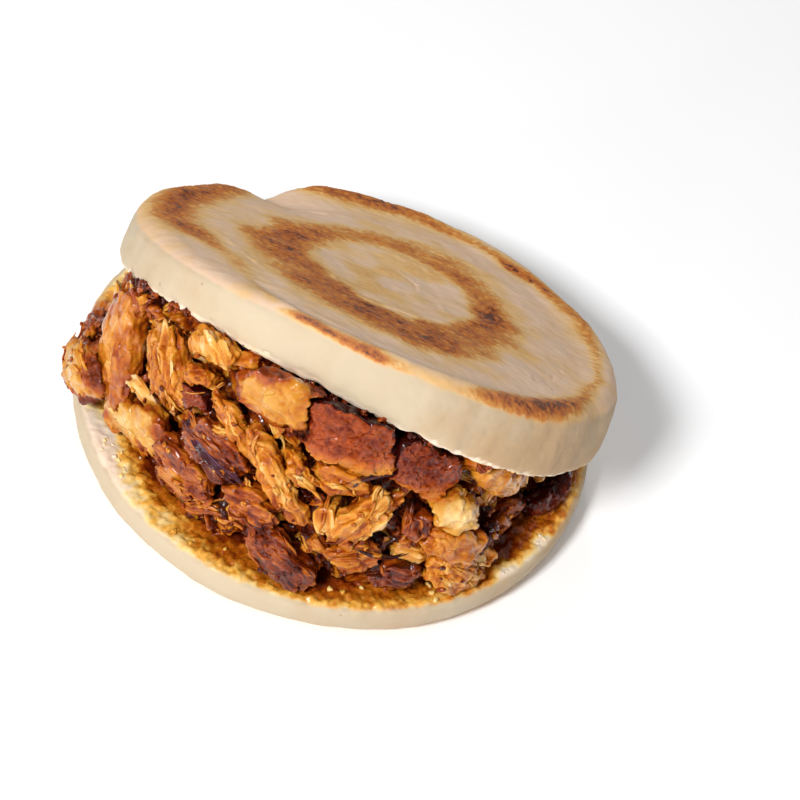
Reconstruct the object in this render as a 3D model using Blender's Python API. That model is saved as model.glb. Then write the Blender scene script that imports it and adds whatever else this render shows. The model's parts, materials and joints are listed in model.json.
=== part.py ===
# A chopped-pork burger: a flat griddled bun cut in two, opened like a clam towards the front (-Y),
# and filled to its lips with a heap of braised pork, chopped by hand into chunks, rind, fat and shreds.
# Metres, +Z up. The lower half stands on z = 0 with the middle of the burger's footprint at the origin.

import math
import random

import bmesh
import bpy
from mathutils import Euler, Vector, noise
from mathutils.bvhtree import BVHTree

# ---- driving dimensions, in metres and degrees ----
BUN_RADIUS = 0.055          # lower half
LOWER_THICKNESS = 0.0092    # table to cut face
LOWER_FOOT_ROUND = 0.005    # rounding between base and wall
LOWER_LIP_ROUND = 0.0012    # rounding between wall and cut face
LOWER_DISH = 0.0006         # how far the cut face sinks under the filling

UPPER_RADIUS = 0.0519       # the upper half pulls in a little as it is bent back
UPPER_THICKNESS = 0.0127    # at the middle, cut face to griddled face
UPPER_CROWN_ROUND = 0.0036  # rounding between wall and griddled face
UPPER_LIP_ROUND = 0.0016    # rounding between wall and cut face
UPPER_CENTRE = (0.0017, -0.0029, 0.0327)    # middle of its cut face
UPPER_TILT = 29.3           # how far it is folded open
UPPER_TURN = 9.3            # the hinge line is turned this much from square
SADDLE_UNDER = (-0.0041, 0.0021)    # cut face: sides droop over the filling, and one diagonal lifts
SADDLE_CROWN = (-0.0027, 0.0003)    # griddled face, the same two bends
RIM_RIDGE = 0.0005          # griddled face: raised ring just inside the edge
RIM_RIDGE_RADIUS = 0.0485
GROOVE = 0.0006             # and the pale trough that runs round inside it
GROOVE_RADIUS = 0.0430
CENTRE_DIP = 0.0007
CENTRE_DIP_RADIUS = 0.015
FOLD_AZIMUTH = 136.0        # a pinch in the far edge, where two lobes of dough meet
FOLD_WIDTH = 7.0
FOLD_DEPTH = 0.0032
SHOULDER_WIDTH = 28.0       # the edge is lower for some way either side of it
SHOULDER_DROP = 0.0016
CREASE_AZIMUTH = -15.0       # an upright crease in the wall at the right-hand end
CREASE_WIDTH = 3.2
CREASE_DEPTH = 0.0011

GAP = 0.0004                # what touching pieces keep between them
CORE_REACH = 0.0435         # the bare heap's radius at the cut faces
CORE_BELLY = 0.0015
CORE_SWELLS = (             # azimuth, how far the foot of the heap reaches out or draws in there, width
    (-160, 0.0048, 16),
    (-137, -0.0015, 9),
    (-84, 0.0040, 20),
    (-50, 0.0035, 13),
    (-28, -0.0045, 9),
    (-8, 0.0025, 12),
)
CORE_SETBACK = 0.0015       # under the upper lip the heap stands this far back
CORE_THINNEST = 0.0035      # the heap ends where the two halves come this close
CHUNK_SEED = 41
FACE_RANGE = (-236, 60)     # azimuths between which the filling shows

BUN_SEGMENTS = 50
CORE_SEGMENTS = 32
CORE_LEVELS = 4

TILT = Euler((-math.radians(UPPER_TILT), 0, -math.radians(UPPER_TURN))).to_matrix().to_4x4()
TILT.translation = Vector(UPPER_CENTRE)
UNTILT = TILT.inverted()


# ---- helpers ----
def clear_scene():
    for thing in list(bpy.data.objects):
        bpy.data.objects.remove(thing, do_unlink=True)


def make_material(name, colour, roughness):
    material = bpy.data.materials.new(name)
    material.use_nodes = True
    shader = material.node_tree.nodes["Principled BSDF"]
    shader.inputs["Base Color"].default_value = (*colour, 1)
    shader.inputs["Roughness"].default_value = roughness
    shader.inputs["Metallic"].default_value = 0
    return material


def face_outwards(bm):
    bmesh.ops.recalc_face_normals(bm, faces=bm.faces)
    if bm.calc_volume(signed=True) < 0:
        bmesh.ops.reverse_faces(bm, faces=bm.faces)
    bm.normal_update()


def add_object(name, bm, material):
    face_outwards(bm)
    mesh = bpy.data.meshes.new(name)
    bm.to_mesh(mesh)
    bm.free()
    mesh.shade_smooth()
    mesh.set_sharp_from_angle(angle=math.radians(50))
    mesh.materials.append(material)
    thing = bpy.data.objects.new(name, mesh)
    bpy.context.scene.collection.objects.link(thing)
    return thing


def bump(distance, width):
    """A smooth hump, 1 in the middle and about nothing past twice the width."""
    return math.exp(-((distance / width) ** 2))


def turned(angle, centre):
    """The angle from centre to angle, in degrees, between -180 and 180."""
    return (angle - centre + 180) % 360 - 180


def azimuth_of(x, y):
    return math.degrees(math.atan2(y, x))


def arc(centre, radius, start, end, steps):
    """Points (r, z) of an arc in the profile plane, between two angles in degrees."""
    points = []
    for i in range(steps + 1):
        angle = math.radians(start + (end - start) * i / steps)
        points.append((centre[0] + radius * math.cos(angle), centre[1] + radius * math.sin(angle)))
    return points


def spun(profile, segments):
    """A closed body turned about Z from (r, z) points that start and end on the axis."""
    bm = bmesh.new()
    points = [bm.verts.new((r, 0, z)) for r, z in profile]
    edges = [bm.edges.new(pair) for pair in zip(points, points[1:])]
    bmesh.ops.spin(bm, geom=points + edges, axis=(0, 0, 1), cent=(0, 0, 0),
                   angle=2 * math.pi, steps=segments, use_merge=True)
    bmesh.ops.remove_doubles(bm, verts=bm.verts, dist=1e-6)
    return bm


# ---- the two halves of the bun ----
def saddle(x, y, bends):
    """A bend lengthways and one on the diagonal, both nothing at the middle and full at the edge."""
    return (bends[0] * (x * x - y * y) + bends[1] * 2 * x * y) / UPPER_RADIUS ** 2


def crumb_height(x, y):
    """Height of the lower half's cut face."""
    inside = max(0.0, 1 - (math.hypot(x, y) / BUN_RADIUS) ** 2)
    ripple = 0.0004 * noise.noise((x * 90, y * 90, 3.1)) * min(1, inside * 4)
    return LOWER_THICKNESS - LOWER_DISH * min(1, inside * 3) + ripple


def build_lower_bun(material):
    foot = LOWER_FOOT_ROUND
    lip = LOWER_LIP_ROUND
    rings = [0.018, 0.034, 0.044, 0.050]
    profile = [(0, 0), (rings[1], 0)]
    profile += arc((BUN_RADIUS - foot, foot), foot, -90, 0, 4)
    profile += arc((BUN_RADIUS - lip, LOWER_THICKNESS - lip), lip, 0, 90, 3)
    profile += [(r, LOWER_THICKNESS) for r in reversed(rings)] + [(0, LOWER_THICKNESS)]
    bm = spun(profile, BUN_SEGMENTS)
    for vert in bm.verts:
        x, y, z = vert.co
        r = math.hypot(x, y)
        if z > LOWER_THICKNESS - 1e-5 and r < BUN_RADIUS - lip - 1e-5:
            vert.co.z = crumb_height(x, y)
        elif r > BUN_RADIUS - foot and z > foot * 0.5:
            # hand-rolled dough: the wall bulges and draws in a little round the bun
            wave = noise.noise((math.cos(math.atan2(y, x)) * 2.1, math.sin(math.atan2(y, x)) * 2.1, 7.7))
            vert.co.x *= 1 - 0.006 * max(0, wave)
            vert.co.y *= 1 - 0.006 * max(0, wave)
    return add_object("bun_bottom", bm, material)


def crown_relief(r, azimuth):
    """Ridge, trough and dip of the griddled face, and its sunken far edge."""
    relief = RIM_RIDGE * bump(r - RIM_RIDGE_RADIUS, 0.0035)
    relief -= GROOVE * bump(r - GROOVE_RADIUS, 0.0050)
    relief -= CENTRE_DIP * bump(r, CENTRE_DIP_RADIUS)
    outward = min(1, max(0, (r - 0.026) / 0.022))
    relief -= SHOULDER_DROP * outward * bump(turned(azimuth, FOLD_AZIMUTH), SHOULDER_WIDTH)
    relief -= FOLD_DEPTH * outward ** 2 * bump(turned(azimuth, FOLD_AZIMUTH), FOLD_WIDTH)
    return relief


def edge_pull(azimuth):
    """How far the wall is drawn in by the fold and the crease."""
    pull = 0.0016 * bump(turned(azimuth, FOLD_AZIMUTH), FOLD_WIDTH)
    return pull + CREASE_DEPTH * bump(turned(azimuth, CREASE_AZIMUTH), CREASE_WIDTH)


def build_upper_bun(material):
    top = UPPER_THICKNESS
    crown = UPPER_CROWN_ROUND
    lip = UPPER_LIP_ROUND
    under_rings = [0.018, 0.034, 0.045]
    crown_rings = [0.009, 0.017, 0.024, 0.030, 0.035, 0.039, 0.0425, 0.0455, 0.0475]
    profile = [(0, 0)] + [(r, 0) for r in under_rings]
    profile += arc((UPPER_RADIUS - lip, lip), lip, -90, 0, 3)
    profile += [(UPPER_RADIUS + 0.0002, top * 0.38), (UPPER_RADIUS, top * 0.56)]
    profile += arc((UPPER_RADIUS - crown, top - crown), crown, 0, 90, 4)
    profile += [(r, top) for r in reversed(crown_rings)] + [(0, top)]
    bm = spun(profile, BUN_SEGMENTS)
    for vert in bm.verts:
        x, y, z = vert.co
        r = math.hypot(x, y)
        azimuth = azimuth_of(x, y)
        share = z / top
        low = saddle(x, y, SADDLE_UNDER)
        high = saddle(x, y, SADDLE_CROWN) + top + crown_relief(r, azimuth)
        vert.co.z = low + (high - low) * share
        if r > UPPER_RADIUS * 0.9:
            pull = edge_pull(azimuth) * (0.35 + 0.65 * share) + 0.0006 * noise.noise((x * 45, y * 45, 1.7))
            vert.co.x -= x / r * pull
            vert.co.y -= y / r * pull
    thing = add_object("bun_top", bm, material)
    thing.matrix_world = TILT
    return thing


def press_between_halves(point):
    """Moves a point of the filling out of either half, keeping the gap."""
    point = point.copy()
    point.z = max(point.z, crumb_height(point.x, point.y) + GAP)
    inner = UNTILT @ point
    inner.z = min(inner.z, saddle(inner.x, inner.y, SADDLE_UNDER) - GAP)
    return TILT @ inner


def ceiling_height(x, y):
    """Height of the upper half's cut face over (x, y), found by moving up until it is met."""
    z = LOWER_THICKNESS
    for _ in range(12):
        inner = UNTILT @ Vector((x, y, z))
        z += saddle(inner.x, inner.y, SADDLE_UNDER) - inner.z
    return z


# ---- the heap of pork ----
def core_reach(azimuth, level):
    """Radius of the bare heap at an azimuth, from its foot (level 0) to the upper lip (level 1)."""
    reach = CORE_REACH + CORE_BELLY * math.sin(math.pi * level) - CORE_SETBACK * level
    for centre, swell, width in CORE_SWELLS:
        reach += swell * bump(turned(azimuth, centre), width) * (1 - 0.6 * level)
    limit = reach
    while limit > 0.01:
        x = limit * math.cos(math.radians(azimuth))
        y = limit * math.sin(math.radians(azimuth))
        if ceiling_height(x, y) - crumb_height(x, y) > CORE_THINNEST:
            break
        limit -= 0.0005
    return limit


def heap_point(azimuth, level, out=0.0):
    """A point on the heap's face, moved outwards by out."""
    reach = core_reach(azimuth, min(1, max(0, level))) + out
    x = reach * math.cos(math.radians(azimuth))
    y = reach * math.sin(math.radians(azimuth))
    low = crumb_height(x, y) + GAP
    high = ceiling_height(x, y) - GAP
    return Vector((x, y, low + (high - low) * level))


def build_core():
    """The bare heap: a wedge between the two cut faces, without its pieces."""
    profile = [(0, 0), (0.6, 0)]
    profile += [(1, i / CORE_LEVELS) for i in range(CORE_LEVELS + 1)]
    profile += [(0.6, 1), (0, 1)]
    bm = spun(profile, CORE_SEGMENTS)
    for vert in bm.verts:
        share = math.hypot(vert.co.x, vert.co.y)
        azimuth = azimuth_of(vert.co.x, vert.co.y)
        level = vert.co.z
        rim = heap_point(azimuth, level)
        x, y = rim.x * share, rim.y * share
        low = crumb_height(x, y) + GAP
        high = ceiling_height(x, y) - GAP
        vert.co = press_between_halves(Vector((x, y, low + (high - low) * level)))
    bmesh.ops.triangulate(bm, faces=bm.faces)
    return bm


def chunk(place, size, cuts, squareness, ragged, seed, depth):
    """A torn piece laid on the heap's face. place is (azimuth, level, turn), size is (length, width,
    thickness), and depth is how much of the thickness stands outside the bare heap, -0.5 to 0.5 and up."""
    azimuth, level, turn = place
    length, width, thickness = size
    bm = bmesh.new()
    if cuts:
        bmesh.ops.create_cube(bm, size=2)
        bmesh.ops.subdivide_edges(bm, edges=bm.edges, cuts=cuts, use_grid_fill=True)
    else:
        bmesh.ops.create_icosphere(bm, subdivisions=1, radius=1)
    base = core_reach(azimuth, level)
    foot = heap_point(azimuth, 0)
    head = heap_point(azimuth, 1)
    tall = max(0.004, (head - foot).length)
    swing = math.radians(turn)
    for vert in bm.verts:
        u, v, w = vert.co
        norm = (abs(u) ** squareness + abs(v) ** squareness + abs(w) ** squareness) ** (1 / squareness)
        u, v, w = u / norm, v / norm, w / norm
        jag = noise.noise((u * 1.7 + seed, v * 1.7, w * 1.1))
        nick = noise.noise((u * 3.3, v * 3.3 + seed, 5.5))
        u *= 1 + ragged * (jag + 0.5 * nick)
        v *= 1 + ragged * (noise.noise((u * 2.1, seed * 1.3, v * 2.1)) + 0.5 * nick)
        w *= 1 + ragged * 0.5 * jag
        along = u * length / 2
        across = v * width / 2
        out = (w + 2 * depth) * thickness / 2
        east = along * math.cos(swing) - across * math.sin(swing)
        north = along * math.sin(swing) + across * math.cos(swing)
        vert.co = press_between_halves(heap_point(azimuth + math.degrees(east / base), level + north / tall, out))
    bmesh.ops.triangulate(bm, faces=bm.faces)
    return bm


# The large pieces, each a solid of its own, the ones that show most first: place on the face (azimuth,
# level between the cut faces, turn from level), size (length, width, thickness), how square the outline
# is, how far it lifts off the bare heap, and the finish.
LARGE_PIECES = {
    "rind_front": ((-84, 0.86, 13), (0.0168, 0.0136, 0.0060), 5.0, 0.0, "rind"),
    "rind_right": ((-66, 0.86, -22), (0.0133, 0.0130, 0.0056), 4.5, 0.0, "rind"),
    "fat_slab": ((-101, 0.88, 14), (0.0175, 0.0110, 0.0062), 3.2, 0.0, "fat"),
    "shred_long": ((-98, 0.53, -50), (0.0205, 0.0062, 0.0055), 3.0, 0.0012, "lean_gold"),
    "striated": ((-77, 0.48, 60), (0.0170, 0.0067, 0.0058), 3.6, 0.0004, "lean_gold"),
    "tan_block": ((-50, 0.13, -40), (0.0155, 0.0088, 0.0070), 3.2, 0.0, "lean_pale"),
    "gold_upper": ((-56, 0.64, 5), (0.0085, 0.0105, 0.0070), 3.4, 0.0, "lean_gold"),
    "gold_lower": ((-53, 0.38, -23), (0.0140, 0.0098, 0.0070), 3.0, 0.0, "lean_gold"),
    "strip_left": ((-151, 0.57, 103), (0.0310, 0.0090, 0.0062), 3.0, 0.0, "lean_pale"),
    "flap_left": ((-139, 0.21, 30), (0.0200, 0.0100, 0.0056), 3.2, 0.0, "lean_pale"),
    "torn_left": ((-134, 0.69, -62), (0.0190, 0.0095, 0.0060), 2.8, 0.0, "lean_gold"),
    "slab_dark": ((-114, 0.47, -31), (0.0135, 0.0115, 0.0058), 3.4, 0.0, "lean_dark"),
    "slab_low": ((-121, 0.22, -6), (0.0150, 0.0125, 0.0058), 3.4, 0.0, "lean_dark"),
    "pale_right": ((-41, 0.85, -16), (0.0165, 0.0078, 0.0060), 3.0, 0.0, "lean_pale"),
    "red_foot": ((-91, 0.13, -40), (0.0158, 0.0095, 0.0062), 3.0, 0.0, "lean_dark"),
    "rind_dark": ((-124, 0.64, 18), (0.0085, 0.0062, 0.0050), 3.6, 0.0, "rind"),
    "chunk_cross": ((-122, 0.93, 18), (0.0115, 0.0080, 0.0060), 3.2, 0.0, "lean_pale"),
    "piece_right": ((-12, 0.14, 8), (0.0150, 0.0062, 0.0056), 2.8, 0.0, "rind"),
    "brown_right": ((-30, 0.24, -20), (0.0100, 0.0085, 0.0060), 3.0, 0.0, "lean_dark"),
    "shred_short": ((-93, 0.60, -48), (0.0100, 0.0052, 0.0050), 3.2, 0.0, "lean_gold"),
    "shred_upper": ((-111, 0.62, -54), (0.0130, 0.0044, 0.0046), 3.0, 0.0, "lean_gold"),
    "chunk_low": ((-101, 0.31, 26), (0.0100, 0.0100, 0.0058), 3.2, 0.0, "lean_gold"),
    "striated_low": ((-76, 0.26, 34), (0.0100, 0.0086, 0.0060), 3.0, 0.0, "lean_gold"),
    "tan_under": ((-83, 0.65, 20), (0.0100, 0.0072, 0.0050), 3.0, 0.0, "lean_pale"),
    "dark_foot": ((-65, 0.14, 5), (0.0100, 0.0090, 0.0058), 3.0, 0.0, "lean_dark"),
    "red_knob": ((-63, 0.47, 27), (0.0066, 0.0066, 0.0050), 2.8, 0.0, "lean_dark"),
    "cube_small": ((-123, 0.75, 36), (0.0066, 0.0056, 0.0054), 4.0, 0.0, "lean_pale"),
    "lump_left": ((-157, 0.24, 30), (0.0160, 0.0112, 0.0085), 2.8, 0.0012, "lean_pale"),
    "knob_left": ((-168, 0.34, 15), (0.0110, 0.0080, 0.0066), 2.8, 0.0006, "lean_dark"),
}
LARGE_FROM = 0.012          # pieces this long are cut finer
LARGE_RAGGED = 0.20
LEAST_LEFT = 0.35           # a piece that its neighbours cut down to less than this share is left out

# What fills the face between them: how many, cuts of the block each starts as, and the range of
# length, width and thickness.
CHUNK_KINDS = (
    (17, 1, (0.0115, 0.0155), (0.0075, 0.0098), (0.0064, 0.0082)),
    (20, 1, (0.0085, 0.0110), (0.0055, 0.0075), (0.0052, 0.0066)),
    (12, 0, (0.0060, 0.0080), (0.0046, 0.0058), (0.0048, 0.0058)),
    (6, 1, (0.0120, 0.0170), (0.0032, 0.0042), (0.0032, 0.0040)),
)
CHUNK_RAGGED = 0.22
CHUNK_TRIES = 10
MOST_HIDDEN = 0.45          # a smaller piece this far inside a large one is left out
DEEPEST = 0.0035            # nothing inside a large piece is further from its surface


def swollen(thing):
    """The thing's form with its surface moved out by the gap, to cut its neighbours with."""
    bm = bmesh.new()
    bm.from_mesh(thing.data)
    bm.normal_update()
    for vert in bm.verts:
        vert.co += vert.normal * vert.calc_shell_factor() * GAP
    return bm


def boolean(thing, collection, operation):
    """Joins the collection's objects to the thing, or cuts them away, and keeps its largest body. The
    pieces lie in each other so closely that only the MANIFOLD solver keeps every body closed."""
    modifier = thing.modifiers.new("boolean", "BOOLEAN")
    modifier.operand_type = "COLLECTION"
    modifier.collection = collection
    modifier.operation = operation
    modifier.solver = "MANIFOLD"
    result = bpy.data.meshes.new_from_object(thing.evaluated_get(bpy.context.evaluated_depsgraph_get()))
    thing.modifiers.clear()
    bm = bmesh.new()
    bm.from_mesh(result)
    bpy.data.meshes.remove(result)
    bmesh.ops.triangulate(bm, faces=bm.faces, ngon_method="EAR_CLIP")
    keep_main_shell(bm)
    bm.to_mesh(thing.data)
    volume = bm.calc_volume(signed=True)
    bm.free()
    return volume


def keep_main_shell(bm):
    """Drops loose scraps and sealed hollows that a Boolean leaves."""
    unseen = set(bm.faces)
    shells = []
    while unseen:
        shell = [unseen.pop()]
        for face in shell:
            for edge in face.edges:
                if len(edge.link_faces) != 2:
                    continue    # two shells touch here
                for other in edge.link_faces:
                    if other in unseen:
                        unseen.remove(other)
                        shell.append(other)
        shells.append(shell)
    shells.sort(key=len)
    for shell in shells[:-1]:
        bmesh.ops.delete(bm, geom=shell, context="FACES")


def move_to(collection, thing):
    bpy.context.scene.collection.objects.unlink(thing)
    collection.objects.link(thing)


def remove_with_objects(collection):
    for thing in list(collection.objects):
        bpy.data.objects.remove(thing, do_unlink=True)
    bpy.data.collections.remove(collection)


def build_large_pieces(materials, room):
    """Each piece is cut back where the ones already laid are in front of it. room collects their forms
    with the gap round them."""
    things = []
    for seed, (name, (place, size, squareness, lift, finish)) in enumerate(LARGE_PIECES.items()):
        depth = 0.5 + (GAP + lift) / size[2]
        cuts = 2 if size[0] >= LARGE_FROM else 1
        bm = chunk(place, size, cuts, squareness, LARGE_RAGGED, seed * 3.7 + 1, depth)
        face_outwards(bm)
        whole = bm.calc_volume()
        thing = add_object("pork_" + name, bm, materials[finish])
        if things and boolean(thing, room, "DIFFERENCE") < whole * LEAST_LEFT:
            print("no room for", name)
            bpy.data.objects.remove(thing, do_unlink=True)
            continue
        things.append(thing)
        move_to(room, add_object("room_" + name, swollen(thing), materials[finish]))
    return things


def hidden_share(bm, trees):
    """How much of a piece lies inside the bodies, by its corners."""
    count = 0
    for vert in bm.verts:
        for tree in trees:
            near, normal, _, distance = tree.find_nearest(vert.co)
            if distance < DEEPEST and (vert.co - near).dot(normal) < 0:
                count += 1
                break
    return count / len(bm.verts)


def build_heap(room, material):
    """The bare heap with the smaller pieces fused on, cut back where the large pieces lie."""
    draw = random.Random(CHUNK_SEED)
    depsgraph = bpy.context.evaluated_depsgraph_get()
    trees = [BVHTree.FromObject(thing, depsgraph) for thing in room.objects]
    heap = add_object("pork_heap", build_core(), material)
    pieces = bpy.data.collections.new("heap_pieces")
    taken = [sum((vert.co for vert in thing.data.vertices), Vector()) / len(thing.data.vertices)
             for thing in room.objects]
    index = 0
    for count, cuts, lengths, widths, thicknesses in CHUNK_KINDS:
        for _ in range(count):
            index += 1
            size = (draw.uniform(*lengths), draw.uniform(*widths), draw.uniform(*thicknesses))
            # of a few free places, the one furthest from all the pieces laid so far
            best = 0
            chosen = None
            for _ in range(CHUNK_TRIES):
                place = (draw.uniform(*FACE_RANGE), draw.uniform(0.04, 0.96), draw.uniform(-80, 80))
                centre = heap_point(place[0], place[1], size[2] / 2)
                apart = min((centre - other).length for other in taken)
                if apart > best:
                    best = apart
                    chosen = place
            bm = chunk(chosen, size, cuts, 3.4, CHUNK_RAGGED, index * 2.3, draw.uniform(0.02, 0.26))
            if hidden_share(bm, trees) > MOST_HIDDEN:
                bm.free()
                continue
            taken.append(heap_point(chosen[0], chosen[1], size[2] / 2))
            move_to(pieces, add_object(f"chunk_{index}", bm, material))
    boolean(heap, pieces, "UNION")
    boolean(heap, room, "DIFFERENCE")
    remove_with_objects(pieces)
    return heap


def centre_footprint(things):
    """Stands the burger with the middle of its footprint on the origin."""
    bpy.context.view_layer.update()
    corners = [thing.matrix_world @ vert.co for thing in things for vert in thing.data.vertices]
    low = Vector([min(c[i] for c in corners) for i in range(3)])
    high = Vector([max(c[i] for c in corners) for i in range(3)])
    stand = bpy.data.objects.new("stand", None)
    bpy.context.scene.collection.objects.link(stand)
    stand.location = (-(low.x + high.x) / 2, -(low.y + high.y) / 2, -low.z)
    for thing in things:
        thing.parent = stand


def main():
    clear_scene()
    materials = {
        "bun": make_material("bun_bread", (0.83, 0.66, 0.44), 0.75),
        "heap": make_material("pork_chopped", (0.42, 0.17, 0.05), 0.40),
        "lean_pale": make_material("pork_lean_pale", (0.60, 0.33, 0.13), 0.40),
        "lean_gold": make_material("pork_lean_gold", (0.58, 0.27, 0.07), 0.35),
        "lean_dark": make_material("pork_lean_dark", (0.30, 0.10, 0.04), 0.35),
        "fat": make_material("pork_fat", (0.62, 0.36, 0.12), 0.25),
        "rind": make_material("pork_rind", (0.33, 0.07, 0.02), 0.22),
    }
    lower = build_lower_bun(materials["bun"])
    upper = build_upper_bun(materials["bun"])
    room = bpy.data.collections.new("room_for_pieces")
    bpy.context.scene.collection.children.link(room)
    large = build_large_pieces(materials, room)
    heap = build_heap(room, materials["heap"])
    remove_with_objects(room)
    centre_footprint([lower, upper, heap] + large)


main()
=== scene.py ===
import json
import math

import bmesh
import bpy
import numpy as np
from mathutils import Euler, Matrix, Vector
from mathutils.bvhtree import BVHTree


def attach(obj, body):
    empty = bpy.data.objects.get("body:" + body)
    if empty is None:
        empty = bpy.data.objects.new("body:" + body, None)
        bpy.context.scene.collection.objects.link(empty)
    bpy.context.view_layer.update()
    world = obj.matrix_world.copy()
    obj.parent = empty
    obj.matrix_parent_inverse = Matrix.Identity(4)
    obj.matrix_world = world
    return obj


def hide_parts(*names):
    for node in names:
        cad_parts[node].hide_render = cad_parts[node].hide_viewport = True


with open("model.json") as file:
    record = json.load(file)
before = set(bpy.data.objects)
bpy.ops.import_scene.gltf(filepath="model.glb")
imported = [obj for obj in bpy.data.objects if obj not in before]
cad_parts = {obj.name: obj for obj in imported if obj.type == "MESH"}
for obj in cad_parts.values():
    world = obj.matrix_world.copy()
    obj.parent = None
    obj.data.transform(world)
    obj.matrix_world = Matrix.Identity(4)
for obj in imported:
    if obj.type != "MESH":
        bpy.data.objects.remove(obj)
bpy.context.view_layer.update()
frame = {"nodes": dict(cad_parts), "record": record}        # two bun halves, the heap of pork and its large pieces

mm = 0.001
scene = bpy.context.scene
scene.view_settings.view_transform = "Standard"

# how the upper half lies on the filling, as in the solids
bunPose = dict(centre=(1.7 * mm, -2.9 * mm, 32.7 * mm), tilt=29.3, turn=9.3,
               radius=51.9 * mm, thickness=12.7 * mm, sideDroop=-4.1 * mm, cornerLift=2.1 * mm)
lowerBun = dict(radius=55 * mm, thickness=9.2 * mm, hollow=0.6 * mm)
topAxes = np.array(Euler((-math.radians(bunPose["tilt"]), 0, -math.radians(bunPose["turn"]))).to_matrix())
topCentre = np.array(bunPose["centre"])


# noise that moves points, worked out for a whole mesh at once
tableSize = 256
dice = np.random.default_rng(11)
gradients = dice.normal(size=(tableSize, 3))
gradients /= np.linalg.norm(gradients, axis=1)[:, None]
shuffle = dice.permutation(tableSize)
scatterSpots = dice.random((tableSize, 3))


def cellKey(cell, seed):
    key = seed
    for axis in range(3):
        key = shuffle[(key + cell[:, axis]) % tableSize]
    return key


def smoothNoise(points, seed=0):  # rolls between about -1 and 1
    base = np.floor(points).astype(int)
    part = points - base
    ease = part ** 3 * (part * (part * 6 - 15) + 10)
    total = np.zeros(len(points))
    for corner in np.ndindex(2, 2, 2):
        offset = np.array(corner)
        share = np.prod(np.where(offset == 1, ease, 1 - ease), axis=1)
        total += share * np.einsum("ij,ij->i", gradients[cellKey(base + offset, seed)], part - offset)
    return total * 1.7


def layeredNoise(points, layers=3, seed=0):
    total = np.zeros(len(points))
    for layer in range(layers):
        total += smoothNoise(points * 2.03 ** layer, seed + 17 * layer) * 0.5 ** layer
    return total / 1.5


def crests(points, seed=0):  # narrow ridges, 0 in the furrows and 1 along the tops
    return 1 - np.minimum(1, np.abs(smoothNoise(points, seed)) * 1.9)


def cellNoise(points, seed=0):  # distance to the nearest cell spot and to the next, and the cell's key
    base = np.floor(points).astype(int)
    near = np.full(len(points), 9.0)
    second = near.copy()
    key = np.zeros(len(points), int)
    for corner in np.ndindex(3, 3, 3):
        cell = base + np.array(corner) - 1
        found = cellKey(cell, seed)
        gap = np.linalg.norm(points - cell - scatterSpots[found], axis=1)
        closer = gap < near
        second = np.where(closer, near, np.minimum(second, gap))
        key = np.where(closer, found, key)
        near = np.where(closer, gap, near)
    return near, second, key


def smoothStep(value, low, high):
    t = np.clip((value - low) / (high - low), 0, 1)
    return t * t * (3 - 2 * t)


def bump(distance, width):
    return np.exp(-(distance / width) ** 2)


def turned(angle, centre):  # degrees from centre to angle, -180 to 180
    return (angle - centre + 180) % 360 - 180


def unit(vectors):
    return vectors / np.maximum(1e-9, np.linalg.norm(vectors, axis=-1, keepdims=True))


def polar(points):  # distance from the upright axis, and azimuth in degrees
    return np.hypot(points[:, 0], points[:, 1]), np.degrees(np.arctan2(points[:, 1], points[:, 0]))


# mesh helpers
def readOut(items, what):
    flat = np.empty(len(items) * 3, np.float32)
    items.foreach_get(what, flat)
    return flat.reshape(-1, 3).astype(float)


def setMark(mesh, name, values):  # a number or a vector for each point, or a number for each copy
    count = len(mesh.vertices)
    values = np.asarray(values, np.float32).ravel()
    kind, field = ("FLOAT_VECTOR", "vector") if values.size == 3 * count else ("FLOAT", "value")
    if values.size < count:
        values = np.repeat(values, count // values.size)
    mesh.attributes.new(name, kind, "POINT").data.foreach_set(field, values)


def placed(thing):
    scene.collection.objects.link(thing)
    return thing


def meshOf(bm):
    mesh = bpy.data.meshes.new("mesh")
    bm.to_mesh(mesh)
    bm.free()
    return mesh


def modified(mesh, kind, **settings):
    thing = placed(bpy.data.objects.new("helper", mesh))
    modifier = thing.modifiers.new("modifier", kind)
    for name, value in settings.items():
        setattr(modifier, name, value)
    seen = thing.evaluated_get(bpy.context.evaluated_depsgraph_get())
    result = bpy.data.meshes.new_from_object(seen)
    bpy.data.objects.remove(thing, do_unlink=True)
    bpy.data.meshes.remove(mesh)
    return result


def nodeCopy(name):
    bm = bmesh.new()
    bm.from_mesh(frame["nodes"][name].data)
    bmesh.ops.remove_doubles(bm, verts=bm.verts, dist=1e-6)
    mesh = meshOf(bm)
    for layer in list(mesh.uv_layers):
        mesh.uv_layers.remove(layer)
    mesh.materials.clear()
    return mesh


def remeshed(name, form, fine=None):  # a node in even quads, smoothed, and split once more where fine says so
    mesh = modified(nodeCopy(name), "REMESH", mode="VOXEL", voxel_size=form["voxel"])
    bm = bmesh.new()
    bm.from_mesh(mesh)
    bpy.data.meshes.remove(mesh)
    for _ in range(form["relax"]):
        bmesh.ops.smooth_vert(bm, verts=bm.verts, factor=0.5, use_axis_x=True, use_axis_y=True,
                              use_axis_z=True)
    if fine:
        bm.faces.ensure_lookup_table()
        centres = np.array([face.calc_center_median() for face in bm.faces])
        chosen = np.flatnonzero(fine(centres))
        edges = {edge for i in chosen for edge in bm.faces[i].edges}
        bmesh.ops.subdivide_edges(bm, edges=list(edges), cuts=1, use_grid_fill=True, smooth=0.6)
        bmesh.ops.triangulate(bm, faces=[face for face in bm.faces if len(face.verts) > 4])
    mesh = meshOf(bm)
    return mesh, readOut(mesh.vertices, "co"), readOut(mesh.vertex_normals, "vector")


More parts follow.
